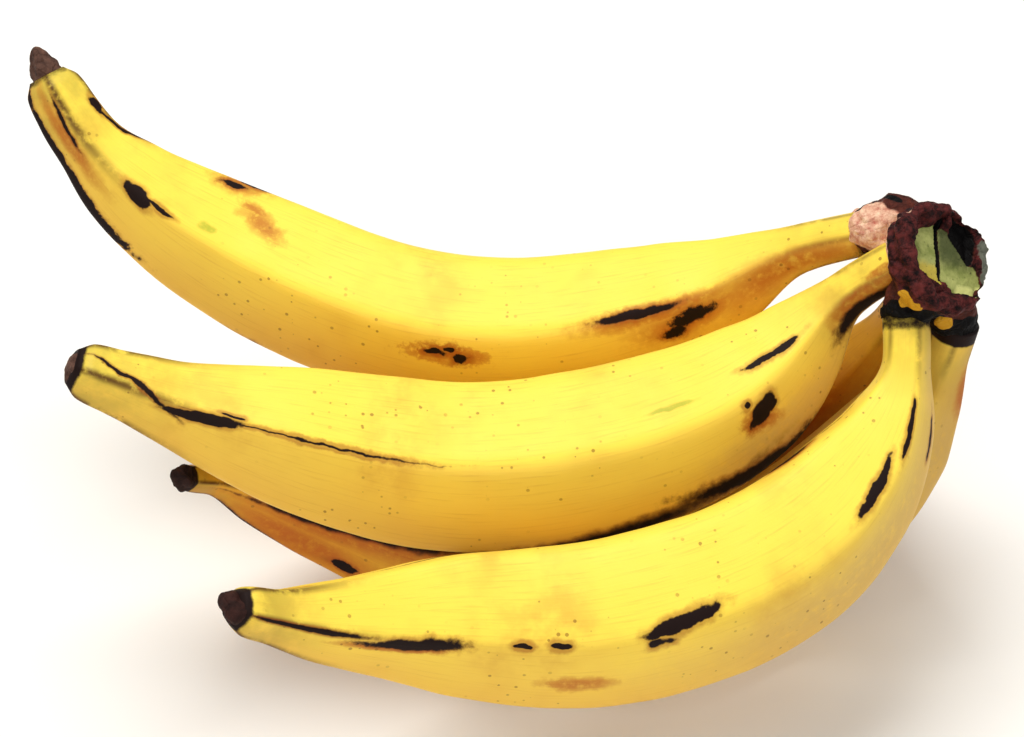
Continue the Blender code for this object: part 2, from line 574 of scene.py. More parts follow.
def new_material(name: str) -> tuple[bpy.types.Material, NodeBench]:
    """Starts a material with an empty node tree.

    Args:
        name: The material's name.

    Returns:
        The material and a bench on its tree.
    """
    material = bpy.data.materials.new(name)
    material.use_nodes = True
    material.node_tree.nodes.clear()
    return material, NodeBench(material.node_tree)


FLOAT = "NodeSocketFloat"
VECTOR = "NodeSocketVector"
COLOUR = "NodeSocketColor"


class Workshop:
    """The shader groups that the finishes share, each built once.

    The scales are those of noise, in cells for each metre; the widths are degrees around a fruit.
    """

    BROAD_BLOTCHES = 22.0
    FINE_BLOTCHES = 95.0
    FRECKLE_PATCHES = 38.0
    RIDGE_WANDER = 30.0
    WANDER_WIDTH = 6.0
    RIDGE_BREAKS = 70.0
    BAND_WIDTH = 14.0

    def __init__(self) -> None:
        """Builds the groups."""
        self.mark = self.build_mark()
        self.tone = self.build_tone()
        self.freckles = self.build_freckles()
        self.ridges = self.build_ridges()
        self.fibre = self.build_fibre()

    def build_mark(self) -> bpy.types.NodeTree:
        """One mark on a peel: a ragged, slanted oval in distance along and angle around.

        Returns:
            The group.
        """
        inputs = {
            "Along": FLOAT,
            "Around": FLOAT,
            "Ragged Noise": FLOAT,
            "Centre Along": FLOAT,
            "Centre Around": FLOAT,
            "Half Length": FLOAT,
            "Half Width": FLOAT,
            "Slant": FLOAT,
            "Ragged": FLOAT,
            "Soft": FLOAT,
        }
        bench, given, result = new_group("Peel mark", inputs, {"Mask": FLOAT})
        put = given.outputs
        run = bench.minus(put["Along"], put["Centre Along"])
        turn = bench.minus(put["Around"], put["Centre Around"])
        turn = bench.minus(turn, bench.times(run, put["Slant"]))
        length = bench.math("POWER", bench.math("DIVIDE", run, put["Half Length"]), 2.0)
        width = bench.math("POWER", bench.math("DIVIDE", turn, put["Half Width"]), 2.0)
        reach = bench.math("SQRT", bench.plus(length, width))
        rough = bench.swing(put["Ragged Noise"], put["Ragged"])
        reach = bench.plus(reach, rough)
        outer = bench.plus(1.0, put["Soft"])
        inner = bench.minus(1.0, put["Soft"])
        bench.feed(result.inputs["Mask"], bench.span(reach, outer, inner))
        return bench.tree

    def build_tone(self) -> bpy.types.NodeTree:
        """The ripe peel's colour: lemon above and golden below, partly its own tone and partly painted
        shade, green at the ends, with soft blotches.

        Returns:
            The group.
        """
        inputs = {
            "Place": VECTOR,
            "Along Share": FLOAT,
            "Under": FLOAT,
            "Lemon": COLOUR,
            "Golden": COLOUR,
            "Deep": COLOUR,
            "Green": COLOUR,
            "Green Neck": FLOAT,
            "Green Tip": FLOAT,
        }
        bench, given, result = new_group("Peel tone", inputs, {"Color": COLOUR, "Blotch": FLOAT})
        put = given.outputs
        broad = bench.noise(put["Place"], self.BROAD_BLOTCHES, 3.0)
        fine = bench.noise(put["Place"], self.FINE_BLOTCHES, 4.0, 0.6)
        sway = bench.swing(broad, 0.9)
        under = bench.math("ADD", put["Under"], sway, clamp=True)
        colour = bench.mix(under, put["Lemon"], put["Golden"])
        deep = bench.span(broad, 0.48, 0.74, 0.0, 0.55)
        colour = bench.mix(bench.times(deep, bench.span(fine, 0.35, 0.65)), colour, put["Deep"])
        neck = bench.times(bench.span(put["Along Share"], 0.16, 0.0), put["Green Neck"])
        tip = bench.times(bench.span(put["Along Share"], 0.86, 1.0), put["Green Tip"])
        green = bench.times(bench.plus(neck, tip), bench.span(fine, 0.25, 0.62))
        bench.feed(result.inputs["Color"], bench.mix(green, colour, put["Green"]))
        bench.feed(result.inputs["Blotch"], fine)
        return bench.tree

    def build_freckles(self) -> bpy.types.NodeTree:
        """Small brown flecks, in loose clusters.

        Returns:
            The group.
        """
        inputs = {"Place": VECTOR, "Scale": FLOAT, "Amount": FLOAT}
        bench, given, result = new_group("Freckles", inputs, {"Mask": FLOAT})
        put = given.outputs
        cell = bench.add("ShaderNodeTexVoronoi", feature="F1")
        bench.feed(cell.inputs["Vector"], put["Place"])
        bench.feed(cell.inputs["Scale"], put["Scale"])
        cell.inputs["Randomness"].default_value = 1.0
        lottery = bench.add("ShaderNodeSeparateColor")
        bench.feed(lottery.inputs[0], cell.outputs["Color"])
        size = bench.span(lottery.outputs[0], 0.55, 1.0, 0.02, 0.24)
        dot = bench.span(bench.minus(cell.outputs["Distance"], size), 0.04, -0.04)
        patch = bench.noise(put["Place"], self.FRECKLE_PATCHES, 2.0)
        limit = bench.minus(1.0, put["Amount"])
        crowd = bench.span(patch, bench.times(limit, 0.75), bench.plus(limit, 0.05))
        bench.feed(result.inputs["Mask"], bench.times(dot, crowd))
        return bench.tree

    def build_ridges(self) -> bpy.types.NodeTree:
        """Wear along the blunt edges of a fruit: a broken thin line and the wider band around it.

        Returns:
            The group.
        """
        inputs = {
            "Around": FLOAT,
            "First Ridge": FLOAT,
            "Spacing": FLOAT,
            "Place": VECTOR,
            "Line Width": FLOAT,
            "Wear": FLOAT,
        }
        bench, given, result = new_group("Ridge wear", inputs, {"Line": FLOAT, "Band": FLOAT})
        put = given.outputs
        wander = bench.noise(put["Place"], self.RIDGE_WANDER, 2.0)
        turn = bench.minus(put["Around"], put["First Ridge"])
        turn = bench.plus(turn, bench.swing(wander, self.WANDER_WIDTH))
        half = bench.times(put["Spacing"], 0.5)
        wrapped = bench.add("ShaderNodeMath", operation="WRAP")
        bench.feed(wrapped.inputs[0], turn)
        bench.feed(wrapped.inputs[1], half)
        bench.feed(wrapped.inputs[2], bench.times(half, -1.0))
        away = bench.math("ABSOLUTE", wrapped.outputs[0])
        line = bench.span(away, put["Line Width"], 0.0)
        broken = bench.noise(put["Place"], self.RIDGE_BREAKS, 4.0, 0.65)
        limit = bench.minus(1.0, put["Wear"])
        shown = bench.span(broken, limit, bench.plus(limit, 0.12))
        bench.feed(result.inputs["Line"], bench.times(line, shown))
        bench.feed(result.inputs["Band"], bench.span(away, self.BAND_WIDTH, 0.0))
        return bench.tree

    def build_fibre(self) -> bpy.types.NodeTree:
        """Dry bark: mottled from dark to light, and split by fine cracks.

        Returns:
            The group.
        """
        inputs = {"Place": VECTOR, "Scale": FLOAT, "Dark": COLOUR, "Light": COLOUR, "Contrast": FLOAT}
        bench, given, result = new_group("Fibre", inputs, {"Color": COLOUR, "Height": FLOAT})
        put = given.outputs
        scaled = bench.add("ShaderNodeVectorMath", operation="SCALE")
        bench.feed(scaled.inputs[0], put["Place"])
        bench.feed(scaled.inputs["Scale"], put["Scale"])
        streak = bench.noise(scaled.outputs[0], 1.0, 6.0, 0.72)
        crack = bench.add("ShaderNodeTexVoronoi", feature="DISTANCE_TO_EDGE")
        bench.feed(crack.inputs["Vector"], scaled.outputs[0])
        crack.inputs["Scale"].default_value = 0.8
        split = bench.span(crack.outputs["Distance"], 0.0, 0.12)
        half = bench.times(put["Contrast"], 0.5)
        share = bench.span(streak, bench.minus(0.5, half), bench.plus(0.5, half))
        bench.feed(result.inputs["Color"], bench.mix(share, put["Dark"], put["Light"]))
        bench.feed(result.inputs["Height"], bench.times(bench.plus(share, split), 0.5))
        return bench.tree


# ---------------------------------------------------------------------------------------------
# Peel finish
# ---------------------------------------------------------------------------------------------


class StainAndShade(Enum):
    """What a mark on a peel is; the black and rusty kinds also serve as painted shade in crevices and on
    shaded lower edges.
    """

    BLACK = "black bruise and painted shade"
    RUST = "rusty rub and painted shade"
    SCUFF = "dry tan scuff"
    GREEN = "green fleck"


# The black and rusty colours paint real bruises and rubs, and also painted shade in crevices.
STAIN_AND_SHADE_COLOURS = {
    StainAndShade.BLACK: srgb(24, 6, 3),
    StainAndShade.RUST: srgb(178, 84, 22),
    StainAndShade.SCUFF: srgb(196, 158, 92),
    StainAndShade.GREEN: srgb(150, 168, 40),
}
STAIN_AND_SHADE_STRENGTH = {StainAndShade.BLACK: 1.0, StainAndShade.RUST: 0.80, StainAndShade.SCUFF: 0.62, StainAndShade.GREEN: 0.7}
HALO_COLOUR = srgb(150, 62, 18)
HALO_LENGTH = 1.6
HALO_WIDTH = 3.0
HALO_SOFT = 0.3


@dataclass(frozen=True)
class Mark:
    """One mark on a peel.

    Along is millimetres from the stalk. Around is degrees from the top, negative towards the
    front, -Y. Slant is degrees around for each millimetre along. Ragged is how uneven the edge
    is, and soft is how far it fades, as a share of the mark's size.
    """

    stain_and_shade: StainAndShade
    along: float
    around: float
    half_length: float
    half_width: float
    slant: float = 0.0
    ragged: float = 0.9
    soft: float = 0.12

    def mask(
        self, bench: NodeBench, workshop: Workshop, along: Socket, around: Socket, ragged: Socket
    ) -> Socket:
        """Lays the mark out.

        Args:
            bench: The material's bench.
            workshop: The shared shader groups.
            along: Millimetres from the stalk.
            around: Degrees from the top.
            ragged: The noise that tears the mark's edge.

        Returns:
            The mask's socket.
        """
        return bench.group(
            workshop.mark,
            Along=along,
            Around=around,
            Ragged_Noise=ragged,
            Centre_Along=self.along,
            Centre_Around=self.around,
            Half_Length=self.half_length,
            Half_Width=self.half_width,
            Slant=self.slant,
            Ragged=self.ragged,
            Soft=self.soft,
        ).outputs["Mask"]

    def halo(self) -> "Mark":
        """The wider, softer mark around this one."""
        length, width = self.half_length + HALO_LENGTH, self.half_width + HALO_WIDTH
        return replace(self, half_length=length, half_width=width, soft=HALO_SOFT)


@dataclass(frozen=True)
class PeelPlace:
    """Where a point of a peel is: in space, along and around the fruit, and its painted shares."""

    point: Socket
    along: Socket
    around: Socket
    share: Socket
    under: Socket


@dataclass(frozen=True)
class Peel:
    """The finish of one fruit's peel.

    The scales are those of noise, in cells for each metre.
    """

    RIDGE_LINE = srgb(120, 66, 20)
    RIDGE_LINE_WIDTH = 1.6
    RIDGE_RUB = srgb(84, 50, 18)
    FRECKLE = srgb(122, 74, 24)
    STREAK_SCALE = 130.0
    RAGGED_SCALE = 320.0
    SWAY_SCALE = 170.0
    SWAY_ALONG = 8.0
    SWAY_AROUND = 7.0
    PORE_SCALE = 1900.0
    RELIEF_DEPTH = 0.5 * MM
    SHINE = 0.15
    FLESH_GLOW = 0.06
    FLESH_COLOURS = (0.6, 0.35, 0.1)
    FLESH_DEPTH = 2.0 * MM

    name: str
    lemon: tuple = srgb(252, 220, 80)
    # The lower faces' colour: partly the peel's own golden tone, partly painted shade.
    golden: tuple = srgb(236, 188, 74)
    deep: tuple = srgb(206, 148, 54)
    green: tuple = srgb(150, 140, 58)
    green_neck: float = 0.35
    green_tip: float = 0.5
    freckle_scale: float = 420.0
    freckle_amount: float = 0.42
    ridge_wear: float = 0.40
    dark_tip: float = 0.8
    dark_neck: float = 0.0
    marks: tuple = ()

    def find_place(self, bench: NodeBench) -> PeelPlace:
        """Reads where a point is from the fruit's map and its painted shares.

        Args:
            bench: The material's bench.

        Returns:
            The sockets that tell where the point is.
        """
        point = bench.add("ShaderNodeTexCoord").outputs["Object"]
        layout = bench.add("ShaderNodeUVMap", uv_map=Fruit.PLACE_MAP)
        split = bench.add("ShaderNodeSeparateXYZ")
        bench.feed(split.inputs[0], layout.outputs[0])
        along = bench.times(split.outputs[0], Fruit.MAP_LENGTH)
        around = bench.times(bench.minus(split.outputs[1], 0.5), FULL_TURN)
        share = bench.add("ShaderNodeAttribute", attribute_name="along_share").outputs["Fac"]
        under = bench.add("ShaderNodeAttribute", attribute_name="under").outputs["Fac"]
        return PeelPlace(point, along, around, share, under)

    def wear_ridges(
        self, bench: NodeBench, wear: bpy.types.Node, at: PeelPlace, colour: Socket
    ) -> Socket:
        """Darkens the ridges: a broken line along them, and rubs near both ends.

        Args:
            bench: The material's bench.
            wear: The group that finds the ridges.
            at: Where the point is.
            colour: The colour so far.

        Returns:
            The new colour's socket.
        """
        colour = bench.mix(bench.times(wear.outputs["Line"], 0.75), colour, self.RIDGE_LINE)
        far_end = bench.span(at.share, 0.80, 0.97)
        near_end = bench.span(at.share, 0.10, 0.03)
        ends = bench.larger(far_end, bench.times(near_end, 0.6))
        streaks = bench.noise(at.point, self.STREAK_SCALE, 5.0, 0.7)
        rub = bench.times(wear.outputs["Band"], bench.span(streaks, 0.32, 0.54))
        return bench.mix(bench.times(bench.times(rub, ends), 0.95), colour, self.RIDGE_RUB)

    def lay_marks(
        self, bench: NodeBench, workshop: Workshop, at: PeelPlace, ragged: Socket
    ) -> tuple[dict[StainAndShade, Socket], Socket | None]:
        """Lays out the marks, in one mask for each kind; the black and rusty masks hold painted shade as
        well as bruises and rubs.

        Args:
            bench: The material's bench.
            workshop: The shared shader groups.
            at: Where the point is.
            ragged: The noise that tears the marks' edges.

        Returns:
            The masks by kind, and the mask of the halos around the black marks, if there are any.
        """
        sway = bench.add("ShaderNodeTexNoise")
        bench.feed(sway.inputs["Vector"], at.point)
        sway.inputs["Scale"].default_value = self.SWAY_SCALE
        sway.inputs["Detail"].default_value = 3.0
        swayed = bench.add("ShaderNodeSeparateColor")
        bench.feed(swayed.inputs[0], sway.outputs["Color"])
        along = bench.plus(at.along, bench.swing(swayed.outputs[0], self.SWAY_ALONG))
        around = bench.plus(at.around, bench.swing(swayed.outputs[1], self.SWAY_AROUND))
        masks: dict[StainAndShade, Socket] = {}
        halos: Socket | None = None
        # Black marks in crevices are painted shade, and their halos widen that painted shade.
        for mark in self.marks:
            mask = mark.mask(bench, workshop, along, around, ragged)
            seen = masks.get(mark.stain_and_shade)
            masks[mark.stain_and_shade] = bench.larger(seen, mask) if seen else mask
            if mark.stain_and_shade is StainAndShade.BLACK:
                ring = mark.halo().mask(bench, workshop, along, around, ragged)
                halos = bench.larger(halos, ring) if halos else ring
        return masks, halos

    def darkness(
        self, bench: NodeBench, at: PeelPlace, ragged: Socket, black: Socket | None
    ) -> Socket:
        """Where the peel is black: at the very ends and in the black marks.

        Args:
            bench: The material's bench.
            at: Where the point is.
            ragged: The noise that tears the edges.
            black: The mask of the black marks.

        Returns:
            The mask's socket.
        """
        tip = bench.times(bench.span(at.share, 0.987, 0.999), self.dark_tip)
        neck = bench.times(bench.span(at.share, 0.030, 0.012), self.dark_neck)
        dark = bench.plus(bench.larger(tip, neck), bench.swing(ragged, 0.5))
        dark = bench.span(dark, 0.25, 0.55)
        if black is not None:
            dark = bench.larger(dark, bench.times(black, STAIN_AND_SHADE_STRENGTH[StainAndShade.BLACK]))
        return dark

    def build(self, workshop: Workshop, first_ridge: float, spacing: float) -> bpy.types.Material:
        """Makes the material.

        Args:
            workshop: The shared shader groups.
            first_ridge: The angle of one ridge, in degrees from the top.
            spacing: Degrees from one ridge to the next.

        Returns:
            The material.
        """
        material, bench = new_material(self.name)
        at = self.find_place(bench)
        tone = bench.group(
            workshop.tone,
            Place=at.point,
            Along_Share=at.share,
            Under=at.under,
            Lemon=self.lemon,
            Golden=self.golden,
            Deep=self.deep,
            Green=self.green,
            Green_Neck=self.green_neck,
            Green_Tip=self.green_tip,
        )
        blotch = tone.outputs["Blotch"]
        fibres = bench.add("ShaderNodeCombineXYZ")
        bench.feed(fibres.inputs[0], bench.times(at.along, 0.05))
        bench.feed(fibres.inputs[1], bench.times(at.around, 0.55))
        strands = bench.noise(fibres.outputs[0], 1.0, 4.0, 0.6)
        colour = bench.mix(bench.span(strands, 0.50, 0.80, 0.0, 0.40), tone.outputs["Color"], self.deep)

        wear = bench.group(
            workshop.ridges,
            Around=at.around,
            First_Ridge=first_ridge,
            Spacing=spacing,
            Place=at.point,
            Line_Width=self.RIDGE_LINE_WIDTH,
            Wear=self.ridge_wear,
        )
        colour = self.wear_ridges(bench, wear, at, colour)

        ragged = bench.noise(at.point, self.RAGGED_SCALE, 5.0, 0.65)
        masks, halos = self.lay_marks(bench, workshop, at, ragged)
        speckle = bench.span(ragged, 0.2, 0.6, 0.35, 1.0)
        # Rusty marks in crevices and on shaded lower edges are painted shade.
        for stain_and_shade in (StainAndShade.SCUFF, StainAndShade.GREEN, StainAndShade.RUST):
            if stain_and_shade in masks:
                strength = bench.times(masks[stain_and_shade], STAIN_AND_SHADE_STRENGTH[stain_and_shade])
                colour = bench.mix(bench.times(strength, speckle), colour, STAIN_AND_SHADE_COLOURS[stain_and_shade])
        if halos is not None:
            colour = bench.mix(bench.times(halos, 0.55), colour, HALO_COLOUR)

        freckles = bench.group(
            workshop.freckles, Place=at.point, Scale=self.freckle_scale, Amount=self.freckle_amount
        ).outputs["Mask"]
        colour = bench.mix(bench.times(freckles, 0.62), colour, self.FRECKLE)
        # Black ends and black marks; the black marks in crevices and on shaded lower edges are painted
        # shade.
        dark = self.darkness(bench, at, ragged, masks.get(StainAndShade.BLACK))
        colour = bench.mix(dark, colour, STAIN_AND_SHADE_COLOURS[StainAndShade.BLACK])

        pores = bench.noise(at.point, self.PORE_SCALE, 2.0)
        height = bench.plus(bench.swing(pores, 0.10), bench.times(strands, 0.35))
        height = bench.plus(height, bench.times(blotch, 0.5))
        height = bench.minus(height, bench.times(dark, 0.6))
        height = bench.minus(height, bench.times(freckles, 0.12))
        normal = bench.relief(height, 0.35, self.RELIEF_DEPTH)
        rough = bench.plus(0.36, bench.times(blotch, 0.16))
        rough = bench.plus(rough, bench.times(dark, 0.20))
        shader = bench.surface(colour, rough, normal, self.SHINE)
        shader.inputs["Subsurface Weight"].default_value = self.FLESH_GLOW
        shader.inputs["Subsurface Radius"].default_value = self.FLESH_COLOURS
        shader.inputs["Subsurface Scale"].default_value = self.FLESH_DEPTH
        return material


@dataclass(frozen=True)
class DryTissue:
    """The finish of a dried flower end: nearly black and papery, mottled with brown."""

    name: str
    dark: tuple = srgb(30, 14, 12)
    light: tuple = srgb(118, 84, 70)
    scale: float = 260.0
    relief_depth: float = 0.6 * MM
    roughness: float = 0.78
    shine: float = 0.15

    def build(self, workshop: Workshop) -> bpy.types.Material:
        """Makes the material.

        Args:
            workshop: The shared shader groups.

        Returns:
            The material.
        """
        material, bench = new_material(self.name)
        place = bench.add("ShaderNodeTexCoord").outputs["Object"]
        fibre = bench.group(
            workshop.fibre, Place=place, Scale=self.scale, Dark=self.dark, Light=self.light, Contrast=0.7
        )
        normal = bench.relief(fibre.outputs["Height"], 0.8, self.relief_depth)
        bench.surface(fibre.outputs["Color"], self.roughness, normal, self.shine)
        return material


# ---------------------------------------------------------------------------------------------
# Fruits
# ---------------------------------------------------------------------------------------------


@dataclass(frozen=True)
class FlowerEnd:
    """The dried remains of the flower at a fruit's tip."""

    ROWS = 40
    SIDES = 48
    SUNK = 1.6 * MM
    BULGE = 0.12
    ROUND_START = 0.72
    ROUND_LENGTH = 0.285
    RING_BEFORE_TIP = -8
    SEED_STEP = 50
    COARSE_GRAIN = 2.2 * MM
    FINE_GRAIN = 0.9 * MM

    length: float
    base_radius: float
    end_radius: float
    lobes: int = 3
    lobe_depth: float = 0.18
    twist: float = 0.6
    lean: tuple = (0.0, 0.0, 0.0)


@dataclass
class Fruit:
    """One plantain: a ridged, curved body and its dried flower end.

    The path runs from the stalk to the tip. Fullness moves the late taper towards the tip, as a
    share of the length, and ridge_turn is the angle of one ridge, in degrees from the top.
    """

    PLACE_MAP = "Place"
    MAP_LENGTH = 100.0
    RIDGES = 5
    NECK_RADIUS = 6.9 * MM
    RINGS = 300
    SIDES = 120
    OUTLINE_STEPS = 1440
    SHARP_CORNER = 3.0
    SOFT_CORNER = 6.5
    FIRMNESS = 0.6
    NECK_SHARE = 0.03
    BROAD_SWELL = 0.55 * MM
    BROAD_SWELL_SIZE = 34 * MM
    FINE_SWELL = 0.16 * MM
    FINE_SWELL_SIZE = 9 * MM
    LARGEST_SHIFT = 1.0 * MM
    GROUND_GAP = 0.05 * MM

    name: str
    slot: str
    path_mm: tuple
    belly_radius: float
    tip_radius: float
    fullness: float
    ridge_turn: float
    peel: Peel
    flower_end: FlowerEnd
    seed: int
    ridge_share: float = 0.85
    tip_close: float = 0.8
    neck_reach: float = 0.0
    dry: DryTissue = field(default_factory=lambda: DryTissue(""))
    pieces: list = field(default_factory=list)

    def radius(self, at: np.ndarray) -> np.ndarray:
        """The radius: a neck, a quick shoulder, and a long taper to the tip.

        Args:
            at: Shares of the length.

        Returns:
            The radius at each of them.
        """
        belly = self.belly_radius
        tip = self.tip_radius
        late = self.fullness
        profile = (
            (0.0, self.NECK_RADIUS),
            (0.05, 1.02 * self.NECK_RADIUS),
            (0.13, 0.55 * belly),
            (0.21, 0.80 * belly),
            (0.33, 0.96 * belly),
            (0.46, belly),
            (0.60 + late, 0.97 * belly),
            (0.73 + late, 0.84 * belly),
            (0.83 + late, 0.62 * belly),
            (0.90 + late / 2, 0.45 * belly),
            (0.955, tip),
            (0.985, 0.90 * tip),
            (1.0, self.tip_close * tip),
        )
        return monotone(*zip(*profile), at)

    def sides_along(self, tangents: np.ndarray) -> tuple[np.ndarray, np.ndarray]:
        """Two directions across the path at each point, turned as little as possible along it.

        Args:
            tangents: The path's direction at each point.

        Returns:
            The first directions, up at the middle of the fruit, and the second ones.
        """
        count = len(tangents)
        first = np.zeros_like(tangents)
        middle = count // 2
        for order in (range(middle, count), range(middle, -1, -1)):
            side = np.array([0.0, 0.0, 1.0])
            for i in order:
                side = side - tangents[i] * (side @ tangents[i])
                side = side / np.linalg.norm(side)
                first[i] = side
        return first, np.cross(tangents, first)

    def section(self, angles: np.ndarray) -> tuple[np.ndarray, np.ndarray]:
        """The ring's outline: a five-sided form with softly rounded corners, against a circle.

        Args:
            angles: Angles around the fruit, in radians from the top.

        Returns:
            How far out each point stands, as a share of the radius, with firm and with soft corners.
        """
        fine = np.linspace(0.0, 2 * np.pi, self.OUTLINE_STEPS, endpoint=False)
        period = 2 * np.pi / self.RIDGES
        off = (fine - math.radians(self.ridge_turn) + period / 2) % period - period / 2
        flat = math.cos(period / 2) / np.cos(period / 2 - np.abs(off))
        flat = flat / flat.mean() - 1.0
        outlines = []
        for softness in (math.radians(self.SHARP_CORNER), math.radians(self.SOFT_CORNER)):
            spread = np.minimum(fine, 2 * np.pi - fine)
            kernel = np.exp(-0.5 * (spread / softness) ** 2)
            kernel /= kernel.sum()
            soft = np.real(np.fft.ifft(np.fft.fft(flat) * np.fft.fft(kernel)))
            outlines.append(np.interp(angles % (2 * np.pi), fine, soft, period=2 * np.pi))
        return outlines[0], outlines[1]

    def rings(self) -> tuple[np.ndarray, np.ndarray, np.ndarray, np.ndarray]:
        """Works out the body's corners.

        Returns:
            The corners by ring, the fraction of the length of each ring, the distance along of
            each ring in metres, and the angles around.
        """
        path = spline_through(np.array(self.path_mm, float) * MM, self.RINGS)
        tangents = unit(np.gradient(path, axis=0))
        first, second = self.sides_along(tangents)
        length = np.linalg.norm(np.diff(path, axis=0), axis=1).sum()
        share = np.linspace(0.0, 1.0, self.RINGS)
        angles = np.arange(self.SIDES) * 2 * np.pi / self.SIDES - np.pi
        radius = self.radius(share)
        sharp, soft = self.section(angles)
        firm = ease(0.45, 0.75, share) + ease(0.35, 0.12, share)
        body = ease(0.0, 0.10, share) * (1.0 - 0.3 * ease(0.97, 1.0, share))
        firmness = self.FIRMNESS * firm[:, None]
        outline = soft[None, :] * (1 - firmness) + sharp[None, :] * firmness
        reach = 1.0 + self.ridge_share * body[:, None] * outline
        turn = angles[None, :, None]
        across = np.cos(turn) * first[:, None] + np.sin(turn) * second[:, None]
        corners = path[:, None] + radius[:, None, None] * reach[..., None] * across
        back = self.neck_reach * np.clip(1.0 - share / self.NECK_SHARE, 0.0, 1.0)
        corners -= (back[:, None] * tangents[0])[:, None]
        noise = SoftNoise(self.seed)
        swell = self.BROAD_SWELL * noise.at(corners, self.BROAD_SWELL_SIZE)
        swell = swell + self.FINE_SWELL * noise.at(corners + 1.0, self.FINE_SWELL_SIZE)
        calm = ease(0.0, 0.06, share) * ease(1.0, 0.95, share)
        corners += across * (swell * calm[:, None])[..., None]
        return corners, share, share * length, angles

    def build(self, workshop: Workshop) -> None:
        """Builds the body and the flower end.

        Args:
            workshop: The shared shader groups.
        """
        corners, share, along, angles = self.rings()
        low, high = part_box(self.name)
        middle = (np.array(low) + np.array(high)) / 2
        reached = (corners.min(axis=(0, 1)) + corners.max(axis=(0, 1))) / 2
        shift = np.clip(middle - reached, -self.LARGEST_SHIFT, self.LARGEST_SHIFT)
        corners = corners + shift * np.array([1.0, 1.0, 0.0])
        corners[..., 2] = np.maximum(corners[..., 2], self.GROUND_GAP)
        mesh = loft_mesh(self.name + "_peel", corners)
        self.map_places(mesh, along, angles)
        ends = [share[0], share[-1]]
        paint(mesh, "along_share", np.concatenate([np.repeat(share, self.SIDES), ends]))
        # The golden share on the lower faces is partly painted shade.
        under = self.shade(np.degrees(angles))
        paint(mesh, "under", np.concatenate([np.tile(under, self.RINGS), [0.5, 0.5]]))
        peel = self.peel.build(workshop, self.ridge_turn, FULL_TURN / self.RIDGES)
        body = piece_from(self.name + "_body", mesh, peel)
        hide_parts(self.name)
        self.pieces.append(body)
        self.pieces.append(self.build_flower_end(corners, workshop))

    def shade(self, around: np.ndarray) -> np.ndarray:
        """How golden the peel is around the fruit: lemon on the two upper faces and golden below, partly
        the peel's own tone and partly painted shade on the faces turned from the light.

        Args:
            around: Angles in degrees from the top.

        Returns:
            A share between 0 and 1 for each angle.
        """
        half_turn = FULL_TURN / 2
        from_ridge = (around - self.ridge_turn + half_turn) % FULL_TURN - half_turn
        front = ease(5.0, -5.0, from_ridge) * (0.45 + 0.55 * ease(-5.0, -75.0, from_ridge))
        back = ease(130.0, 165.0, from_ridge)
        return np.maximum(front, back)

    def map_places(self, mesh: bpy.types.Mesh, along: np.ndarray, angles: np.ndarray) -> None:
        """Lays the map that tells the peel how far along and around each point is.

        Args:
            mesh: The body's mesh.
            along: Each ring's distance from the stalk, in metres.
            angles: The angle of each corner of a ring.
        """
        layer = mesh.uv_layers.new(name=self.PLACE_MAP)
        corner = np.empty(len(mesh.loops), int)
        mesh.loops.foreach_get("vertex_index", corner)
        sizes = np.empty(len(mesh.polygons), int)
        mesh.polygons.foreach_get("loop_total", sizes)
        last = self.RINGS * self.SIDES
        ring = np.where(corner < last, corner // self.SIDES, np.where(corner == last, 0, self.RINGS - 1))
        side = np.where(corner < last, corner % self.SIDES, self.SIDES // 2)
        turn = (angles[side] + np.pi) / (2 * np.pi)
        face = np.repeat(np.arange(len(sizes)), sizes)
        widest = np.zeros(len(sizes))
        np.maximum.at(widest, face, turn)
        turn = np.where(widest[face] - turn > 0.5, turn + 1.0, turn)
        flat = np.stack([along[ring] / (self.MAP_LENGTH * MM), turn], axis=1)
        layer.data.foreach_set("uv", flat.astype(np.float32).ravel())

    def build_flower_end(self, corners: np.ndarray, workshop: Workshop) -> bpy.types.Object:
        """Builds the dried flower end on the last ring.

        Args:
            corners: The body's corners by ring.
            workshop: The shared shader groups.

        Returns:
            The flower end's object.
        """
        end = self.flower_end
        tip = corners[-1].mean(axis=0)
        way = unit(tip - corners[end.RING_BEFORE_TIP].mean(axis=0))
        side = unit(np.cross(way, [0.0, 0.0, 1.0]))
        other = np.cross(side, way)
        t = np.linspace(0.0, 1.0, end.ROWS)[:, None]
        angle = np.linspace(0.0, 2 * np.pi, end.SIDES, endpoint=False)[None, :]
        turned = angle + end.twist * t
        bulge = np.sin(np.pi * np.clip(t * 1.3, 0, 1)) * end.BULGE
        radius = (end.base_radius * (1 - t) + end.end_radius * t) * (1 + bulge)
        closing = ((t - end.ROUND_START) / end.ROUND_LENGTH).clip(0, None)
        radius = radius * np.sqrt(np.clip(1 - closing**2, 0.0, 1.0))
        radius = radius * (1 + end.lobe_depth * ease(0.0, 0.4, t) * np.cos(end.lobes * turned))
        lean = np.array(end.lean)
        rise = t[..., None]
        centre = tip - way * end.SUNK + way * (end.length + end.SUNK) * rise + lean * rise**2
        spokes = np.cos(turned)[..., None] * side + np.sin(turned)[..., None] * other
        shell = centre + radius[..., None] * spokes
        noise = SoftNoise(self.seed + end.SEED_STEP)
        rough = 0.55 * MM * noise.at(shell, end.COARSE_GRAIN)
        rough = rough + 0.3 * MM * noise.at(shell + 0.5, end.FINE_GRAIN)
        rough = rough * ease(0.0, 0.2, t) * np.clip(radius / end.base_radius, 0.2, 1.0)
        shell += spokes * rough[..., None]
        mesh = loft_mesh(self.name + "_flower_end", shell)
        dry = replace(self.dry, name=self.name + "_dry").build(workshop)
        obj = piece_from(self.name + "_flower_end", mesh, dry)
        return obj


# ---------------------------------------------------------------------------------------------
# Crown
# ---------------------------------------------------------------------------------------------


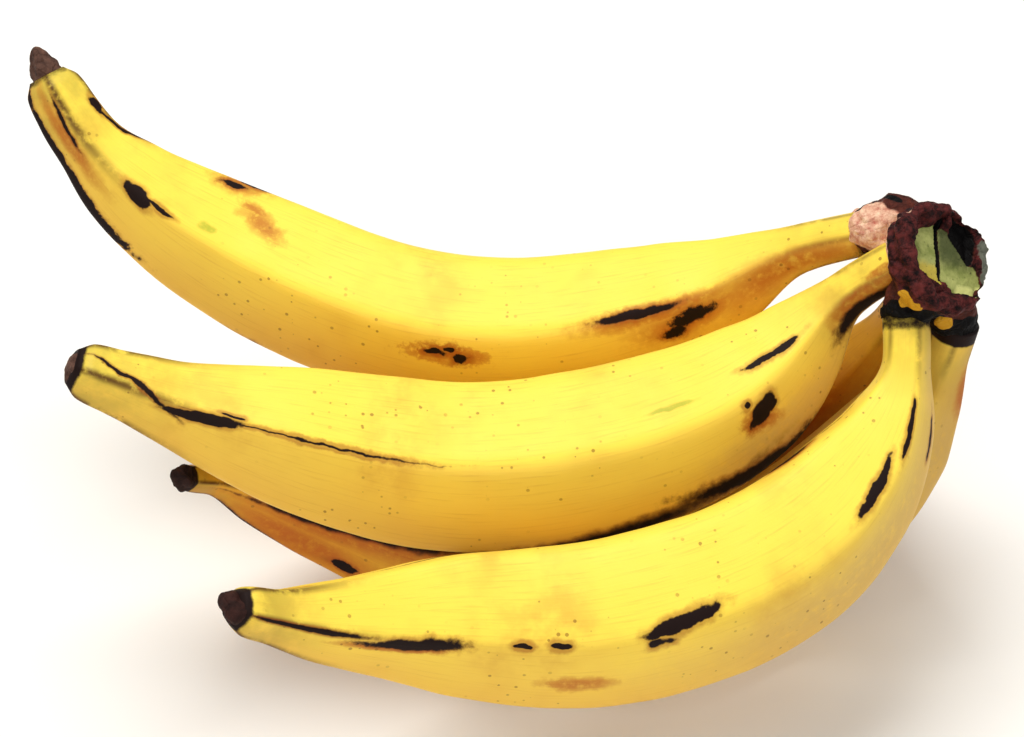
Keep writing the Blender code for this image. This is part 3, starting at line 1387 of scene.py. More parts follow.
@dataclass(frozen=True)
class CrownFinish:
    """Colours of the crown: cut face, rim, pad, bark and the black collars.

    The scales are those of noise and fibre, in cells for each metre.
    """

    GRAIN_SCALE = 700.0
    CLOUD_SCALE = 190.0
    SPECK_SCALE = 900.0
    BARK_SCALE = 300.0
    PAD_SCALE = 420.0
    RELIEF_DEPTH = 0.7 * MM
    SHINE = 0.12

    name: str = "crown_bark"
    face_pale: tuple = srgb(204, 204, 128)
    face_green: tuple = srgb(96, 108, 44)
    face_yellow: tuple = srgb(196, 170, 62)
    # The colour of painted shade on the upper part of the right lobe, under the rim.
    face_shade: tuple = srgb(58, 64, 40)
    face_dark: tuple = srgb(26, 30, 14)
    rim_dark: tuple = srgb(10, 2, 3)
    rim_light: tuple = srgb(92, 36, 34)
    pad_dark: tuple = srgb(176, 92, 74)
    pad_light: tuple = srgb(250, 214, 180)
    bark_dark: tuple = srgb(22, 6, 6)
    bark_light: tuple = srgb(100, 46, 34)
    collar: tuple = srgb(5, 3, 3)
    fresh: tuple = srgb(200, 146, 34)
    film: tuple = srgb(96, 98, 86)

    def build(self, workshop: Workshop) -> bpy.types.Material:
        """Makes the material.

        Args:
            workshop: The shared shader groups.

        Returns:
            The material.
        """
        material, bench = new_material(self.name)
        place = bench.add("ShaderNodeTexCoord").outputs["Object"]
        grain = bench.noise(place, self.GRAIN_SCALE, 4.0, 0.6)
        sway = bench.swing(grain, 0.45)

        def zone(name: str, low: float = 0.42, high: float = 0.58) -> Socket:
            """A painted zone with a ragged edge."""
            value = bench.add("ShaderNodeAttribute", attribute_name=name).outputs["Fac"]
            return bench.span(bench.plus(value, sway), low, high)

        def fibre(scale: float, dark: tuple, light: tuple, contrast: float) -> bpy.types.Node:
            """Bark in the given colours."""
            values = {"Place": place, "Scale": scale, "Dark": dark, "Light": light, "Contrast": contrast}
            return bench.group(workshop.fibre, **values)

        bark = fibre(self.BARK_SCALE, self.bark_dark, self.bark_light, 0.6)
        pad = fibre(self.PAD_SCALE, self.pad_dark, self.pad_light, 0.55)
        rim = fibre(self.BARK_SCALE, self.rim_dark, self.rim_light, 0.30)
        colour = bench.mix(zone("rim"), bark.outputs["Color"], rim.outputs["Color"])
        colour = bench.mix(zone("pad", 0.25, 0.75), colour, pad.outputs["Color"])
        colour = bench.mix(zone("fresh"), colour, self.fresh)
        colour = bench.mix(zone("collar"), colour, self.collar)
        clouds = bench.noise(place, self.CLOUD_SCALE, 3.0, 0.6)
        cloudy = bench.span(clouds, 0.30, 0.70, 0.1, 0.55)
        pale = bench.larger(cloudy, zone("pale", 0.2, 0.9))
        flesh = bench.mix(pale, self.face_green, self.face_pale)
        flesh = bench.mix(bench.times(zone("yellow", 0.2, 0.9), 0.75), flesh, self.face_yellow)
        # Painted shade on the upper part of the right lobe.
        flesh = bench.mix(bench.times(zone("shade", 0.1, 1.0), 0.8), flesh, self.face_shade)
        specks = bench.noise(place, self.SPECK_SCALE, 3.0, 0.7)
        flesh = bench.mix(bench.span(specks, 0.60, 0.74, 0.0, 0.7), flesh, self.face_dark)
        colour = bench.mix(zone("face"), colour, flesh)
        colour = bench.mix(zone("film"), colour, self.film)
        # Painted shade in the wedge at the upper right of the face, and the dark crack, both in the
        # collars' black.
        colour = bench.mix(zone("shaded_wedge_and_crack"), colour, self.collar)

        rough_bark = bench.times(bark.outputs["Height"], bench.minus(1.0, zone("face")))
        height = bench.plus(rough_bark, bench.times(grain, 0.6))
        normal = bench.relief(height, 0.7, self.RELIEF_DEPTH)
        bench.surface(colour, bench.span(grain, 0.2, 0.8, 0.5, 0.85), normal, self.SHINE)
        return material


@dataclass(frozen=True)
class Stub:
    """One stalk stub of the crown: where it leaves the cushion and where a neck meets it."""

    heel_mm: tuple
    root_mm: tuple
    toward_mm: tuple
    heel_radius: float = 9.0 * MM
    root_radius: float = 7.6 * MM
    black: float = 0.0
    black_length: float = 5.0 * MM


@dataclass
class Crown:
    """The crown: a cushion with a cut face, a thick dark rim, a fibrous pad and five stubs."""

    LEFT_LOBE = (
        (-9.5, 6.3), (-6.2, 8.8), (-0.9, 10.4), (-0.5, 2.5),
        (-0.4, -8.4), (-5.4, -6.4), (-9.4, -2.9), (-10.6, 1.6),
    )
    RIGHT_LOBE = (
        (1.5, 9.6), (4.8, 8.0), (8.8, 4.0), (12.0, -1.3), (14.6, -6.1),
        (14.0, -9.6), (10.4, -11.4), (5.8, -11.0), (1.2, -8.2),
    )
    # Where painted shade blackens the face at the upper right, under the rim.
    BLACK_WEDGE = ((2.3, 13.8), (10.3, 12.4), (13.6, 9.7), (13.6, 5.7), (11.5, 0.7), (7.0, 6.0))
    PAD_LINE = ((107.0, 31.0, 119.0), (112.5, 19.0, 128.0))
    BARK_BLACK_LINES = (
        ((107.0, 37.0, 125.5), (113.0, 39.0, 128.0), 2.6),
        ((113.0, 39.0, 128.0), (123.0, 30.0, 131.0), 1.2),
        ((106.5, 31.0, 111.5), (115.0, 27.0, 115.0), 2.5),
    )
    FRESH_SPOTS = (((118.0, 0.5, 119.0), 3.6), ((120.5, -0.5, 119.0), 2.6), ((131.5, 7.0, 104.5), 2.7))
    PAD_CENTRE_MM = (115.0, 32.0, 119.5)
    PAD_SIZES = (11.0 * MM, 8.0 * MM, 8.5 * MM)
    BELLY_DEPTH_MM = 5.0
    BACK_SHARE = 0.62
    BELLY_SHARE = 1.05
    FACE_SHARE = 0.97
    RIM_SHARE = 0.87
    BEADS = 40
    BEAD_RADIUS_MM = 3.1
    STUB_BACK_MM = 2.0
    STUB_REACH_MM = 1.6
    SMOOTHING_STEPS = 6
    SEED = 77

    name: str
    slot: str
    stubs: tuple
    finish: CrownFinish
    cut_centre: Vector = field(default_factory=lambda: Vector((129.0, 13.0, 124.0)) * MM)
    cut_normal: Vector = field(default_factory=lambda: Vector((0.55, -0.40, 0.73)).normalized())
    radius: float = 16.6 * MM
    depth: float = 11.0 * MM
    voxel: float = 0.65 * MM

    def face_axes(self) -> tuple[np.ndarray, np.ndarray, np.ndarray]:
        """Works out the cut face's own directions.

        Returns:
            The directions to its right, up it, and out of it.
        """
        out = np.array(self.cut_normal)
        right = unit(np.array([1.0, 0.0, 0.0]) - out * out[0])
        return right, np.cross(out, right), out

    def rod(self, shape: bmesh.types.BMesh, start: Vector, end: Vector, near: float, far: float) -> None:
        """Adds a closed tapered rod.

        Args:
            shape: The form to add to.
            start: The middle of one end.
            end: The middle of the other.
            near: The radius at the start.
            far: The radius at the end.
        """
        way = end - start
        turn = way.to_track_quat("Z", "Y").to_matrix().to_4x4()
        bmesh.ops.create_cone(
            shape,
            cap_ends=True,
            segments=48,
            radius1=near,
            radius2=far,
            depth=way.length,
            matrix=Matrix.Translation((start + end) / 2) @ turn,
        )

    def ball(self, shape: bmesh.types.BMesh, centre: Vector, sizes: tuple) -> None:
        """Adds an egg-shaped swelling.

        Args:
            shape: The form to add to.
            centre: The swelling's middle.
            sizes: Its radii along x, y and z.
        """
        size = Matrix.Diagonal((*sizes, 1.0))
        bmesh.ops.create_uvsphere(
            shape, u_segments=32, v_segments=16, radius=1.0, matrix=Matrix.Translation(centre) @ size
        )

    def rough_form(self) -> bpy.types.Mesh:
        """Fuses the cushion, the rim, the pad and the stubs into one skin.

        Returns:
            The fused mesh.
        """
        shape = bmesh.new()
        back = self.cut_centre - self.cut_normal * self.depth
        belly = self.cut_centre - self.cut_normal * self.BELLY_DEPTH_MM * MM
        belly_radius = self.BELLY_SHARE * self.radius
        self.rod(shape, back, belly, self.BACK_SHARE * self.radius, belly_radius)
        self.rod(shape, belly, self.cut_centre, belly_radius, self.FACE_SHARE * self.radius)
        right, up, out = self.face_axes()
        for i in range(self.BEADS):
            angle = 2 * math.pi * i / self.BEADS
            spoke = right * math.cos(angle) + up * math.sin(angle)
            reach = self.RIM_SHARE * self.radius * (1 + 0.05 * math.sin(3 * angle + 0.7))
            size = self.BEAD_RADIUS_MM + 0.5 * math.sin(5 * angle) + 0.4 * math.cos(9 * angle + 1.0)
            centre = np.array(self.cut_centre) + spoke * reach + out * 0.3 * MM
            self.ball(shape, Vector(centre), (size * MM,) * 3)
        for stub in self.stubs:
            heel = Vector(stub.heel_mm) * MM
            root = Vector(stub.root_mm) * MM
            toward = (Vector(stub.toward_mm) * MM - root).normalized()
            self.rod(shape, heel, root, stub.heel_radius, stub.root_radius)
            behind = root - toward * self.STUB_BACK_MM * MM
            ahead = root + toward * self.STUB_REACH_MM * MM
            self.rod(shape, behind, ahead, stub.root_radius, stub.root_radius)
            self.ball(shape, heel, (stub.heel_radius,) * 3)
        self.ball(shape, Vector(self.PAD_CENTRE_MM) * MM, self.PAD_SIZES)
        mesh = bpy.data.meshes.new("crown_form")
        shape.to_mesh(mesh)
        shape.free()
        obj = bpy.data.objects.new("crown_form", mesh)
        bpy.context.scene.collection.objects.link(obj)
        skin = obj.modifiers.new("Skin", "REMESH")
        skin.mode = "VOXEL"
        skin.voxel_size = self.voxel
        relax = obj.modifiers.new("Relax", "SMOOTH")
        relax.factor = 0.5
        relax.iterations = self.SMOOTHING_STEPS
        bpy.context.view_layer.update()
        graph = bpy.context.evaluated_depsgraph_get()
        fused = bpy.data.meshes.new_from_object(obj.evaluated_get(graph))
        bpy.data.objects.remove(obj, do_unlink=True)
        return fused

    def face_parts(
        self, x: np.ndarray, y: np.ndarray, on_top: np.ndarray, wobble: np.ndarray
    ) -> tuple[np.ndarray, np.ndarray, np.ndarray]:
        """Lays out the cut face: its two green lobes, the black wedge and the crack between them.

        Args:
            x: Millimetres to the right of the cut's centre.
            y: Millimetres up from it.
            on_top: How far each corner belongs to the cut's side of the crown.
            wobble: The noise that bends the edges.

        Returns:
            Lays out the cut face: its two green lobes, the crack between them, and the black wedge at the
                upper right, which is painted shade under the rim.
        """
        left_lobe = edge_distance(x, y, self.LEFT_LOBE) + 0.5 * wobble
        right_lobe = edge_distance(x, y, self.RIGHT_LOBE) + 0.5 * wobble
        lobes = ease(0.5, -0.4, np.minimum(left_lobe, right_lobe)) * on_top
        wedge = ease(0.9, -0.4, edge_distance(x, y, self.BLACK_WEDGE) + 0.8 * wobble) * on_top
        crack = ease(1.7, 0.7, np.abs(x - 0.4 - 0.3 * wobble))
        crack = crack * ease(-8.0, -6.0, y) * ease(13.5, 12.0, y) * on_top
        return lobes, wedge * (1 - lobes), crack * (1 - lobes)

    def collars(self, places: np.ndarray, plain: np.ndarray, wobble: np.ndarray) -> np.ndarray:
        """Lays out the black collars around the stubs and the black lines on the bark.

        Args:
            places: The crown's corners.
            plain: The mask of everything but the cut face.
            wobble: The noise that bends the edges.

        Returns:
            The mask of the black places.
        """
        collar = np.zeros(len(places))
        for stub in self.stubs:
            root = np.array(stub.root_mm) * MM
            toward = unit(np.array(stub.toward_mm) * MM - root)
            behind = -(places - root) @ toward + 1.2 * MM * wobble
            near = ease(13.0, 10.0, np.linalg.norm(places - root, axis=1) / MM)
            ring = ease(stub.black_length + 1.0 * MM, stub.black_length - 1.0 * MM, behind)
            collar = np.maximum(collar, stub.black * ring * near)
        for start_mm, end_mm, width in self.BARK_BLACK_LINES:
            away = line_distance(places, start_mm, end_mm) + 0.8 * wobble
            collar = np.maximum(collar, ease(width + 1.0, width - 1.0, away) * plain)
        return collar

    def carve(self, mesh: bpy.types.Mesh) -> dict[str, np.ndarray]:
        """Cuts the face, cracks it, and wrinkles the bark.

        Args:
            mesh: The fused mesh, which is changed.

        Returns:
            The zones to paint, by name.
        """
        places = read_corners(mesh, "co")
        normals = read_corners(mesh, "normal")
        right, up, out = self.face_axes()
        local = (places - np.array(self.cut_centre)) / MM
        x, y, z = local @ right, local @ up, local @ out
        noise = SoftNoise(self.SEED)
        wobble = noise.at(places, 3.5 * MM)
        on_top = ease(-4.5, -2.5, z) * ease(0.0, 0.35, normals @ out)
        lobes, wedge, crack = self.face_parts(x, y, on_top, wobble)
        level = -1.5 + 0.35 * noise.at(places + 0.2, 2.4 * MM)
        for mask, floor in ((lobes, level), (wedge, level - 0.9), (crack, level - 1.6)):
            places = places - np.outer(np.maximum(z - floor, 0.0) * mask * MM, out)
        plain = 1 - np.maximum(lobes, np.maximum(wedge, crack))

        pad = ease(12.0, 9.0, line_distance(places, *self.PAD_LINE) + 1.3 * wobble)
        pad = pad * plain * ease(-0.75, -0.45, normals[:, 2] - 0.2)
        rim = ease(-6.0, -4.0, z + 0.8 * wobble) * ease(12.5, 14.5, np.hypot(x, y) + 0.5 * wobble)
        rim = np.maximum(rim, ease(-3.0, -1.5, z)) * plain
        pad = pad * (1 - rim * ease(-0.6, -0.1, wobble + 0.2))
        wrinkle = 0.55 * MM * noise.at(places + 0.3, 3.0 * MM) + 0.25 * MM * noise.at(places, 1.3 * MM)
        fold = 0.9 * MM * np.abs(noise.at(places * np.array([1.0, 1.0, 2.2]) + 0.7, 4.2 * MM))
        places = places + normals * ((wrinkle - fold) * plain)[:, None]

        collar = self.collars(places, plain, wobble)
        fresh = np.zeros(len(places))
        for centre_mm, reach in self.FRESH_SPOTS:
            away = np.linalg.norm(places - np.array(centre_mm) * MM, axis=1) / MM
            spot = ease(reach + 0.8, reach - 0.8, away + 0.7 * wobble) * plain
            places = places + normals * (0.9 * MM * spot)[:, None]
            fresh = np.maximum(fresh, spot)
        move_corners(mesh, places)
        pale = np.maximum(ease(-8.0, -11.0, x), ease(-4.0, -8.5, y) * ease(3.0, 8.0, x))
        film = ease(12.5, 14.0, x) * ease(-8.0, -5.0, y) * ease(9.0, 6.0, y) * ease(-4.0, -1.0, z)
        return {
            "face": lobes,
            "pale": pale,
            "yellow": ease(1.0, -4.5, y) * ease(0.8, -1.0, x),
            # Painted shade on the upper part of the right lobe.
            "shade": ease(-6.0, 3.0, y) * ease(0.5, 2.0, x),
            # Painted shade in the wedge, and the dark crack.
            "shaded_wedge_and_crack": np.maximum(wedge, crack),
            "rim": rim,
            "pad": pad,
            "collar": collar * (1 - fresh),
            "fresh": fresh,
            "film": film * plain * 0.8,
        }

    def build(self, workshop: Workshop) -> bpy.types.Object:
        """Builds the crown.

        Args:
            workshop: The shared shader groups.

        Returns:
            The crown's object.
        """
        mesh = self.rough_form()
        mesh.name = "crown_skin"
        zones = self.carve(mesh)
        for name, values in zones.items():
            paint(mesh, name, values)
        mesh.shade_smooth()
        obj = piece_from(self.name + "_skin", mesh, self.finish.build(workshop))
        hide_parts(self.name)
        return obj


# ---------------------------------------------------------------------------------------------
# The hand
# ---------------------------------------------------------------------------------------------


# Each mark: stain and shade, along, around, half length, half width, slant, ragged, soft.
UPPER_LEFT_MARKS = (
    Mark(StainAndShade.BLACK, 244, -50, 5.2, 8.5, 0.4, 0.5, 0.08),
    Mark(StainAndShade.BLACK, 236, -47, 5.5, 2.0, 0.1, 0.5),
    Mark(StainAndShade.RUST, 216, 20, 10.0, 12.0, -0.4, 1.6, 0.5),
    Mark(StainAndShade.BLACK, 210, 27, 6.0, 5.0, -0.3, 0.9),
    Mark(StainAndShade.BLACK, 219, 16, 4.0, 3.0, -0.3, 1.6, 0.2),
    Mark(StainAndShade.RUST, 203, -12, 9.0, 10.0, 0.6, 2.0, 0.5),
    Mark(StainAndShade.RUST, 208, 0, 6.0, 6.0, 0.6, 2.2, 0.5),
    Mark(StainAndShade.GREEN, 220, -38, 2.4, 4.5, 0.0, 0.6, 0.4),
    Mark(StainAndShade.BLACK, 228, 38, 11.0, 4.0, -0.6, 0.7),
    Mark(StainAndShade.BLACK, 273, 12, 3.4, 8.0, 0.0, 0.8),
    Mark(StainAndShade.BLACK, 260, 19, 14.0, 3.0, -0.7, 1.0),
    Mark(StainAndShade.BLACK, 262, -116, 28.0, 9.0, 0.0, 1.3),
    Mark(StainAndShade.BLACK, 192, -131, 11.0, 8.0, 0.0, 0.8),
    Mark(StainAndShade.RUST, 270, -78, 16.0, 14.0, 0.0, 1.4, 0.6),
    Mark(StainAndShade.BLACK, 274, -64, 9.0, 4.0, 0.6, 1.4, 0.3),
    Mark(StainAndShade.RUST, 62, -54, 26.0, 10.0, 0.1, 1.4, 0.4),
    Mark(StainAndShade.BLACK, 69, -50, 15.0, 4.0, 0.1, 1.0, 0.2),
    Mark(StainAndShade.RUST, 52, -72, 19.0, 18.0, 0.0, 1.3, 0.5),
    Mark(StainAndShade.BLACK, 53, -70, 7.0, 8.0, 0.0, 2.6, 0.25),
    Mark(StainAndShade.BLACK, 60, -80, 3.0, 6.0, 0.0, 1.8, 0.25),
    Mark(StainAndShade.RUST, 20, -76, 26.0, 30.0, 0.0, 1.2, 0.6),
    Mark(StainAndShade.RUST, 131, -68, 12.0, 9.0, 0.0, 2.8, 0.3),
    Mark(StainAndShade.BLACK, 135, -66, 3.0, 3.0, 0.0, 1.4, 0.15),
    Mark(StainAndShade.BLACK, 127, -71, 2.2, 4.4, 0.0, 1.4, 0.15),
    Mark(StainAndShade.BLACK, 130, -63, 1.4, 2.4, 0.0, 1.2, 0.15),
)
UPPER_MIDDLE_MARKS = (
    Mark(StainAndShade.BLACK, 252, -33, 14.0, 4.6, 2.2, 0.9, 0.2),
    Mark(StainAndShade.BLACK, 231, -52, 12.5, 6.4, -0.5, 0.5, 0.08),
    Mark(StainAndShade.BLACK, 222, -40, 3.2, 1.6, 0.0, 0.6),
    Mark(StainAndShade.BLACK, 196, -45.5, 38.0, 0.9, -0.02, 1.3, 0.45),
    Mark(StainAndShade.BLACK, 212, -127, 26.0, 3.0, 0.0, 1.4, 0.25),
    Mark(StainAndShade.BLACK, 45, -28, 13.5, 3.6, 0.35, 0.9, 0.1),
    Mark(StainAndShade.BLACK, 40, -31, 5.0, 4.2, 0.4, 0.5, 0.1),
    Mark(StainAndShade.GREEN, 85, -27, 8.0, 2.4, 0.1, 1.2, 0.4),
    Mark(StainAndShade.BLACK, 60, -63, 5.6, 9.5, -0.9, 0.5, 0.1),
    Mark(StainAndShade.RUST, 62, -70, 6.5, 12.0, 0.8, 1.6, 0.35),
    Mark(StainAndShade.BLACK, 65, -50, 1.3, 3.0, 0.0, 0.6, 0.2),
    Mark(StainAndShade.BLACK, 58, -128, 12.0, 18.0, 0.0, 1.0, 0.2),
    Mark(StainAndShade.RUST, 10, -66, 14.0, 26.0, 0.0, 1.0, 0.4),
    Mark(StainAndShade.BLACK, 13, -92, 13.0, 20.0, 0.0, 0.9, 0.3),
    Mark(StainAndShade.RUST, 4, -31, 2.6, 12.0, 0.0, 1.0, 0.3),
    Mark(StainAndShade.SCUFF, 60, -100, 20.0, 24.0, 0.0, 1.2, 0.7),
    # Painted shade: these two black marks are the dark line along the lower edge, in the crevice above
    # the upper right fruit.
    Mark(StainAndShade.BLACK, 122, -119, 50.0, 7.0, -0.30, 0.8, 0.5),
    Mark(StainAndShade.BLACK, 68, -111, 22.0, 7.0, 0.45, 1.0, 0.4),
)
UPPER_RIGHT_MARKS = (
    Mark(StainAndShade.BLACK, 236, -59, 20.0, 4.4, 0.05, 0.9, 0.25),
    Mark(StainAndShade.BLACK, 203, -65, 16.0, 7.0, -0.3, 1.0, 0.2),
    Mark(StainAndShade.RUST, 208, -72, 18.0, 6.0, -0.2, 1.6, 0.4),
    Mark(StainAndShade.BLACK, 168, -57, 2.8, 1.6, 0.0, 0.8),
    Mark(StainAndShade.BLACK, 155, -57, 3.6, 2.0, 0.0, 0.8),
    Mark(StainAndShade.BLACK, 121, -53, 10.5, 5.2, -0.35, 0.7, 0.1),
    Mark(StainAndShade.BLACK, 128, -63, 3.0, 3.4, 0.0, 0.9, 0.2),
    Mark(StainAndShade.BLACK, 54, -48, 11.5, 4.0, -0.2, 0.6, 0.1),
    # Painted shade: a dark line along the top, in the crevice under the upper middle fruit.
    Mark(StainAndShade.BLACK, 122, 52, 76.0, 9.0, -0.10, 1.0, 0.4),
    Mark(StainAndShade.BLACK, 33, -55, 9.5, 3.2, -0.25, 0.6, 0.1),
    Mark(StainAndShade.BLACK, 32, -112, 5.0, 3.4, 0.0, 0.7, 0.15),
    Mark(StainAndShade.BLACK, 62, 54, 10.0, 15.0, 0.0, 1.2, 0.2),
    Mark(StainAndShade.RUST, 62, 46, 12.0, 18.0, 0.0, 1.6, 0.4),
    Mark(StainAndShade.RUST, 150, -95, 9.0, 8.0, 0.0, 1.8, 0.5),
    Mark(StainAndShade.SCUFF, 70, -100, 46.0, 34.0, 0.0, 1.0, 0.8),
    Mark(StainAndShade.RUST, 236, 30, 6.0, 7.0, 0.0, 2.2, 0.4),
)
LOWER_LEFT_MARKS = (
    # Painted shade: the first five marks darken the strip under the upper middle fruit and the lower
    # outline.
    Mark(StainAndShade.BLACK, 233, -106, 5.0, 6.0, 0.0, 1.2, 0.15),
    Mark(StainAndShade.BLACK, 272, -128, 26.0, 9.0, 0.0, 1.0, 0.3),
    Mark(StainAndShade.RUST, 235, -64, 46.0, 16.0, -0.3, 1.0, 0.7),
    Mark(StainAndShade.BLACK, 236, -57, 44.0, 5.0, -0.3, 1.2, 0.5),
    Mark(StainAndShade.RUST, 250, -100, 26.0, 20.0, 0.0, 1.2, 0.6),
    Mark(StainAndShade.RUST, 60, -50, 26.0, 26.0, 0.0, 1.4, 0.8),
    Mark(StainAndShade.SCUFF, 150, 150, 40.0, 24.0, 0.0, 1.2, 0.8),
    Mark(StainAndShade.BLACK, 120, 110, 12.0, 4.0, 0.1, 1.2, 0.2),
)
LOWER_RIGHT_MARKS = (
    Mark(StainAndShade.RUST, 20, -128, 7.0, 16.0, 0.0, 1.6, 0.5),
    Mark(StainAndShade.SCUFF, 40, -110, 22.0, 40.0, 0.0, 1.0, 0.8),
    Mark(StainAndShade.BLACK, 90, -150, 12.0, 4.0, 0.1, 1.2, 0.2),
    Mark(StainAndShade.BLACK, 60, 120, 9.0, 4.0, 0.2, 1.2, 0.2),
    Mark(StainAndShade.RUST, 120, -100, 12.0, 12.0, 0.0, 1.6, 0.5),
)


def make_fruits() -> list[Fruit]:
    """The five fruits, from the upper left one to the lower right one.

    Returns:
        The fruits, not built yet.
    """
    return [
        Fruit(
            name="plantain_upper_left",
            slot="peel_upper_left",
            path_mm=(
                (106, 37, 113), (90, 42, 103), (73, 44, 90), (44, 45, 76), (0, 47, 67),
                (-39, 55, 70), (-76, 67, 81), (-107, 75, 99), (-127, 83, 118), (-139, 94, 136),
            ),
            belly_radius=23.2 * MM,
            tip_radius=9.5 * MM,
            fullness=0.03,
            ridge_turn=-50.0,
            neck_reach=5.0 * MM,
            peel=Peel("peel_upper_left", dark_tip=0.45, green_neck=0.25, marks=UPPER_LEFT_MARKS),
            flower_end=FlowerEnd(8.5 * MM, 5.2 * MM, 1.8 * MM, 3, 0.26, 1.2, (0.5 * MM, 0.0, 1.5 * MM)),
            tip_close=0.60,
            seed=11,
        ),
        Fruit(
            name="plantain_upper_middle",
            slot="peel_upper_middle",
            path_mm=(
                (116, 20, 115), (103, 20, 103), (87, 13, 86), (60, -1, 74), (18, -11, 68),
                (-21, -12, 68), (-57, -11, 78), (-89, -11, 91), (-109, -11, 102), (-123, -11, 110),
            ),
            belly_radius=24.8 * MM,
            tip_radius=9.0 * MM,
            fullness=0.0,
            ridge_turn=-45.0,
            neck_reach=6.0 * MM,
            peel=Peel("peel_upper_middle", marks=UPPER_MIDDLE_MARKS),
            flower_end=FlowerEnd(1.4 * MM, 4.4 * MM, 3.2 * MM, 5, 0.14, 0.2),
            tip_close=0.58,
            seed=12,
        ),
        Fruit(
            name="plantain_upper_right",
            slot="peel_upper_right",
            path_mm=(
                (119, 5, 109), (118, -8, 97), (109, -24, 82), (85, -46, 67), (53, -61, 61),
                (17, -67, 58), (-17, -71, 64), (-42, -79, 74), (-59, -87, 85), (-73, -94, 98),
            ),
            belly_radius=23.8 * MM,
            tip_radius=7.5 * MM,
            fullness=-0.02,
            ridge_turn=-57.0,
            peel=Peel("peel_upper_right", dark_neck=0.5, marks=UPPER_RIGHT_MARKS),
            flower_end=FlowerEnd(3.6 * MM, 3.9 * MM, 3.4 * MM, 2, 0.34, 0.3),
            tip_close=0.60,
            dry=DryTissue("", dark=srgb(8, 3, 3), light=srgb(66, 36, 30)),
            seed=13,
        ),
        Fruit(
            name="plantain_lower_left",
            slot="peel_lower_left",
            path_mm=(
                (126, 27, 99), (118, 33, 72), (97, 42, 36), (59, 32, 23.5), (16, 6, 20.5),
                (-15, -4, 21.5), (-44, -1, 29), (-60, -1, 37), (-80, -6, 54), (-95, -23, 75),
            ),
            belly_radius=22.2 * MM,
            tip_radius=4.5 * MM,
            fullness=-0.02,
            ridge_turn=-50.0,
            # A darker copy of the peel's colours: painted shade for the fruit that lies under the others.
            peel=Peel(
                "peel_lower_left",
                lemon=srgb(240, 188, 54),
                golden=srgb(212, 144, 36),
                deep=srgb(176, 100, 24),
                green_neck=0.1,
                marks=LOWER_LEFT_MARKS,
            ),
            flower_end=FlowerEnd(3.4 * MM, 3.4 * MM, 3.0 * MM, 4, 0.12, 0.2),
            dry=DryTissue("", dark=srgb(8, 3, 3), light=srgb(60, 36, 30)),
            seed=14,
        ),
        Fruit(
            name="plantain_lower_right",
            slot="peel_lower_right",
            path_mm=(
                (136, 14, 98), (133, 12, 85), (125, 8, 68), (113, 3, 49), (97, -2, 31),
                (76, -10, 20), (47, -26, 23), (22, -32, 29), (1, -36, 38), (-13, -41, 47),
            ),
            belly_radius=21.5 * MM,
            tip_radius=6.5 * MM,
            fullness=-0.02,
            ridge_turn=-60.0,
            peel=Peel(
                "peel_lower_right",
                lemon=srgb(238, 206, 88),
                golden=srgb(220, 172, 62),
                dark_neck=0.9,
                marks=LOWER_RIGHT_MARKS,
            ),
            flower_end=FlowerEnd(4.2 * MM, 4.0 * MM, 3.0 * MM, 3, 0.2, 0.3),
            seed=15,
        ),
    ]


def make_crown() -> Crown:
    """The crown with its five stubs.

    Returns:
        The crown, not built yet.
    """
    return Crown(
        name="crown",
        slot="crown_bark",
        stubs=(
            Stub((119, 33, 120), (107, 36.5, 113.5), (90, 42, 103), 9.5 * MM, 6.5 * MM),
            Stub((123, 18, 118), (116, 20, 115), (103, 20, 103), 8.0 * MM, 6.2 * MM),
            Stub((124, 11, 116), (119, 5, 109), (118, -8, 97), black=1.0, black_length=3.4 * MM),
            Stub((124, 21, 112), (126, 27, 99), (118, 33, 72), black=0.7, black_length=4.0 * MM),
            Stub((130, 15, 113), (136, 14, 98), (133, 12, 85), black=1.0, black_length=6.5 * MM),
        ),
        finish=CrownFinish(),
    )


# ---------------------------------------------------------------------------------------------
# Studio
# ---------------------------------------------------------------------------------------------


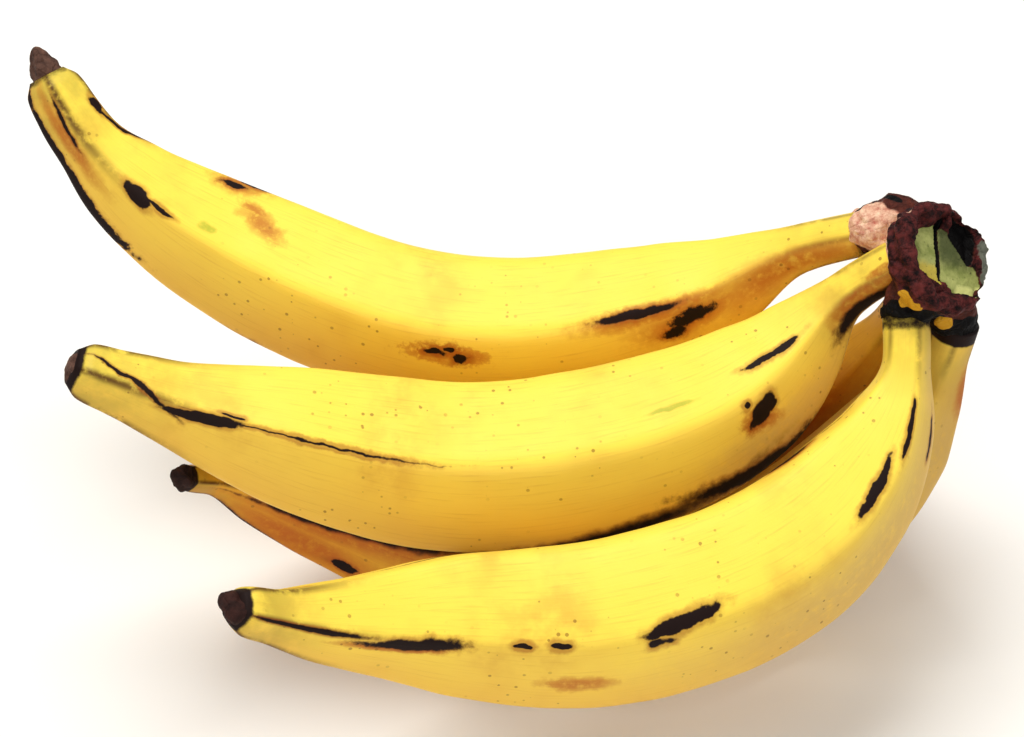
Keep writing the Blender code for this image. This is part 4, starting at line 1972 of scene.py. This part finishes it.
@dataclass
class Studio:
    """A pale floor, soft lights and the camera. Lengths are metres and angles are degrees."""

    AIM = (0.0, 0.0, 0.06)
    WHITE = (1.0, 1.0, 1.0, 1.0)
    FLOOR_ROUGHNESS = 0.85
    SKY_STRENGTH = 0.42

    floor_size: float = 6.0
    floor_colour: tuple = srgb(244, 243, 240)
    lens: float = 85.0
    sensor: float = 36.0
    camera_place: tuple = (-0.0033, -0.5178, 0.5899)
    elevation: float = 43.71
    azimuth: float = 0.705
    roll: float = 0.53

    def build_floor(self) -> None:
        """Lays the floor."""
        shape = bmesh.new()
        bmesh.ops.create_grid(shape, x_segments=2, y_segments=2, size=self.floor_size / 2)
        mesh = bpy.data.meshes.new("studio_floor")
        shape.to_mesh(mesh)
        shape.free()
        material = bpy.data.materials.new("studio_floor_paper")
        material.use_nodes = True
        shader = material.node_tree.nodes["Principled BSDF"]
        shader.inputs["Base Color"].default_value = self.floor_colour
        shader.inputs["Roughness"].default_value = self.FLOOR_ROUGHNESS
        mesh.materials.append(material)
        floor = bpy.data.objects.new("studio_floor", mesh)
        bpy.context.scene.collection.objects.link(floor)

    def build_light(self, name: str, place: tuple, size: float, power: float, colour: tuple) -> None:
        """Hangs one soft panel that faces the hand.

        Args:
            name: The light's name.
            place: Where it hangs.
            size: Its side.
            power: Its power in watts.
            colour: Its colour.
        """
        panel = bpy.data.lights.new(name, "AREA")
        panel.shape = "SQUARE"
        panel.size = size
        panel.energy = power
        panel.color = colour
        obj = bpy.data.objects.new(name, panel)
        obj.location = place
        aim = Vector(self.AIM) - Vector(place)
        obj.rotation_euler = aim.to_track_quat("-Z", "Y").to_euler()
        bpy.context.scene.collection.objects.link(obj)

    def build_lights(self) -> None:
        """Hangs the lights and sets the sky."""
        self.build_light("key_panel", (-0.15, 0.30, 1.30), 0.7, 14.0, (1.0, 0.985, 0.95))
        self.build_light("front_panel", (-0.3, -1.3, 0.8), 1.0, 6.5, (1.0, 0.99, 0.97))
        self.build_light("side_panel", (1.2, -0.2, 0.7), 0.9, 2.5, (1.0, 1.0, 1.0))
        world = bpy.data.worlds.new("studio_sky")
        world.use_nodes = True
        sky = world.node_tree.nodes["Background"]
        sky.inputs["Color"].default_value = self.WHITE
        sky.inputs["Strength"].default_value = self.SKY_STRENGTH
        bpy.context.scene.world = world
        view = bpy.context.scene.view_settings
        view.view_transform = "Standard"
        view.look = "None"
        view.exposure = 0.0

    def build_camera(self) -> None:
        """Sets the camera up."""
        data = bpy.data.cameras.new("studio_camera")
        data.lens = self.lens
        data.sensor_width = self.sensor
        camera = bpy.data.objects.new("studio_camera", data)
        turn = Matrix.Rotation(-math.radians(self.azimuth), 4, "Z")
        tilt = Matrix.Rotation(math.radians(90.0 - self.elevation), 4, "X")
        roll = Matrix.Rotation(-math.radians(self.roll), 4, "Z")
        camera.matrix_world = Matrix.Translation(self.camera_place) @ turn @ tilt @ roll
        bpy.context.scene.collection.objects.link(camera)
        bpy.context.scene.camera = camera


def main() -> None:
    logging.basicConfig(level=logging.INFO, format="%(name)s: %(message)s")
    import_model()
    workshop = Workshop()
    for fruit in make_fruits():
        fruit.build(workshop)
        for piece in fruit.pieces:
            LOG.info("%s: %d corners", piece.name, len(piece.data.vertices))
    crown = make_crown().build(workshop)
    LOG.info("%s: %d corners", crown.name, len(crown.data.vertices))
    studio = Studio()
    studio.build_floor()
    studio.build_lights()
    studio.build_camera()


if __name__ == "__main__":
    main()
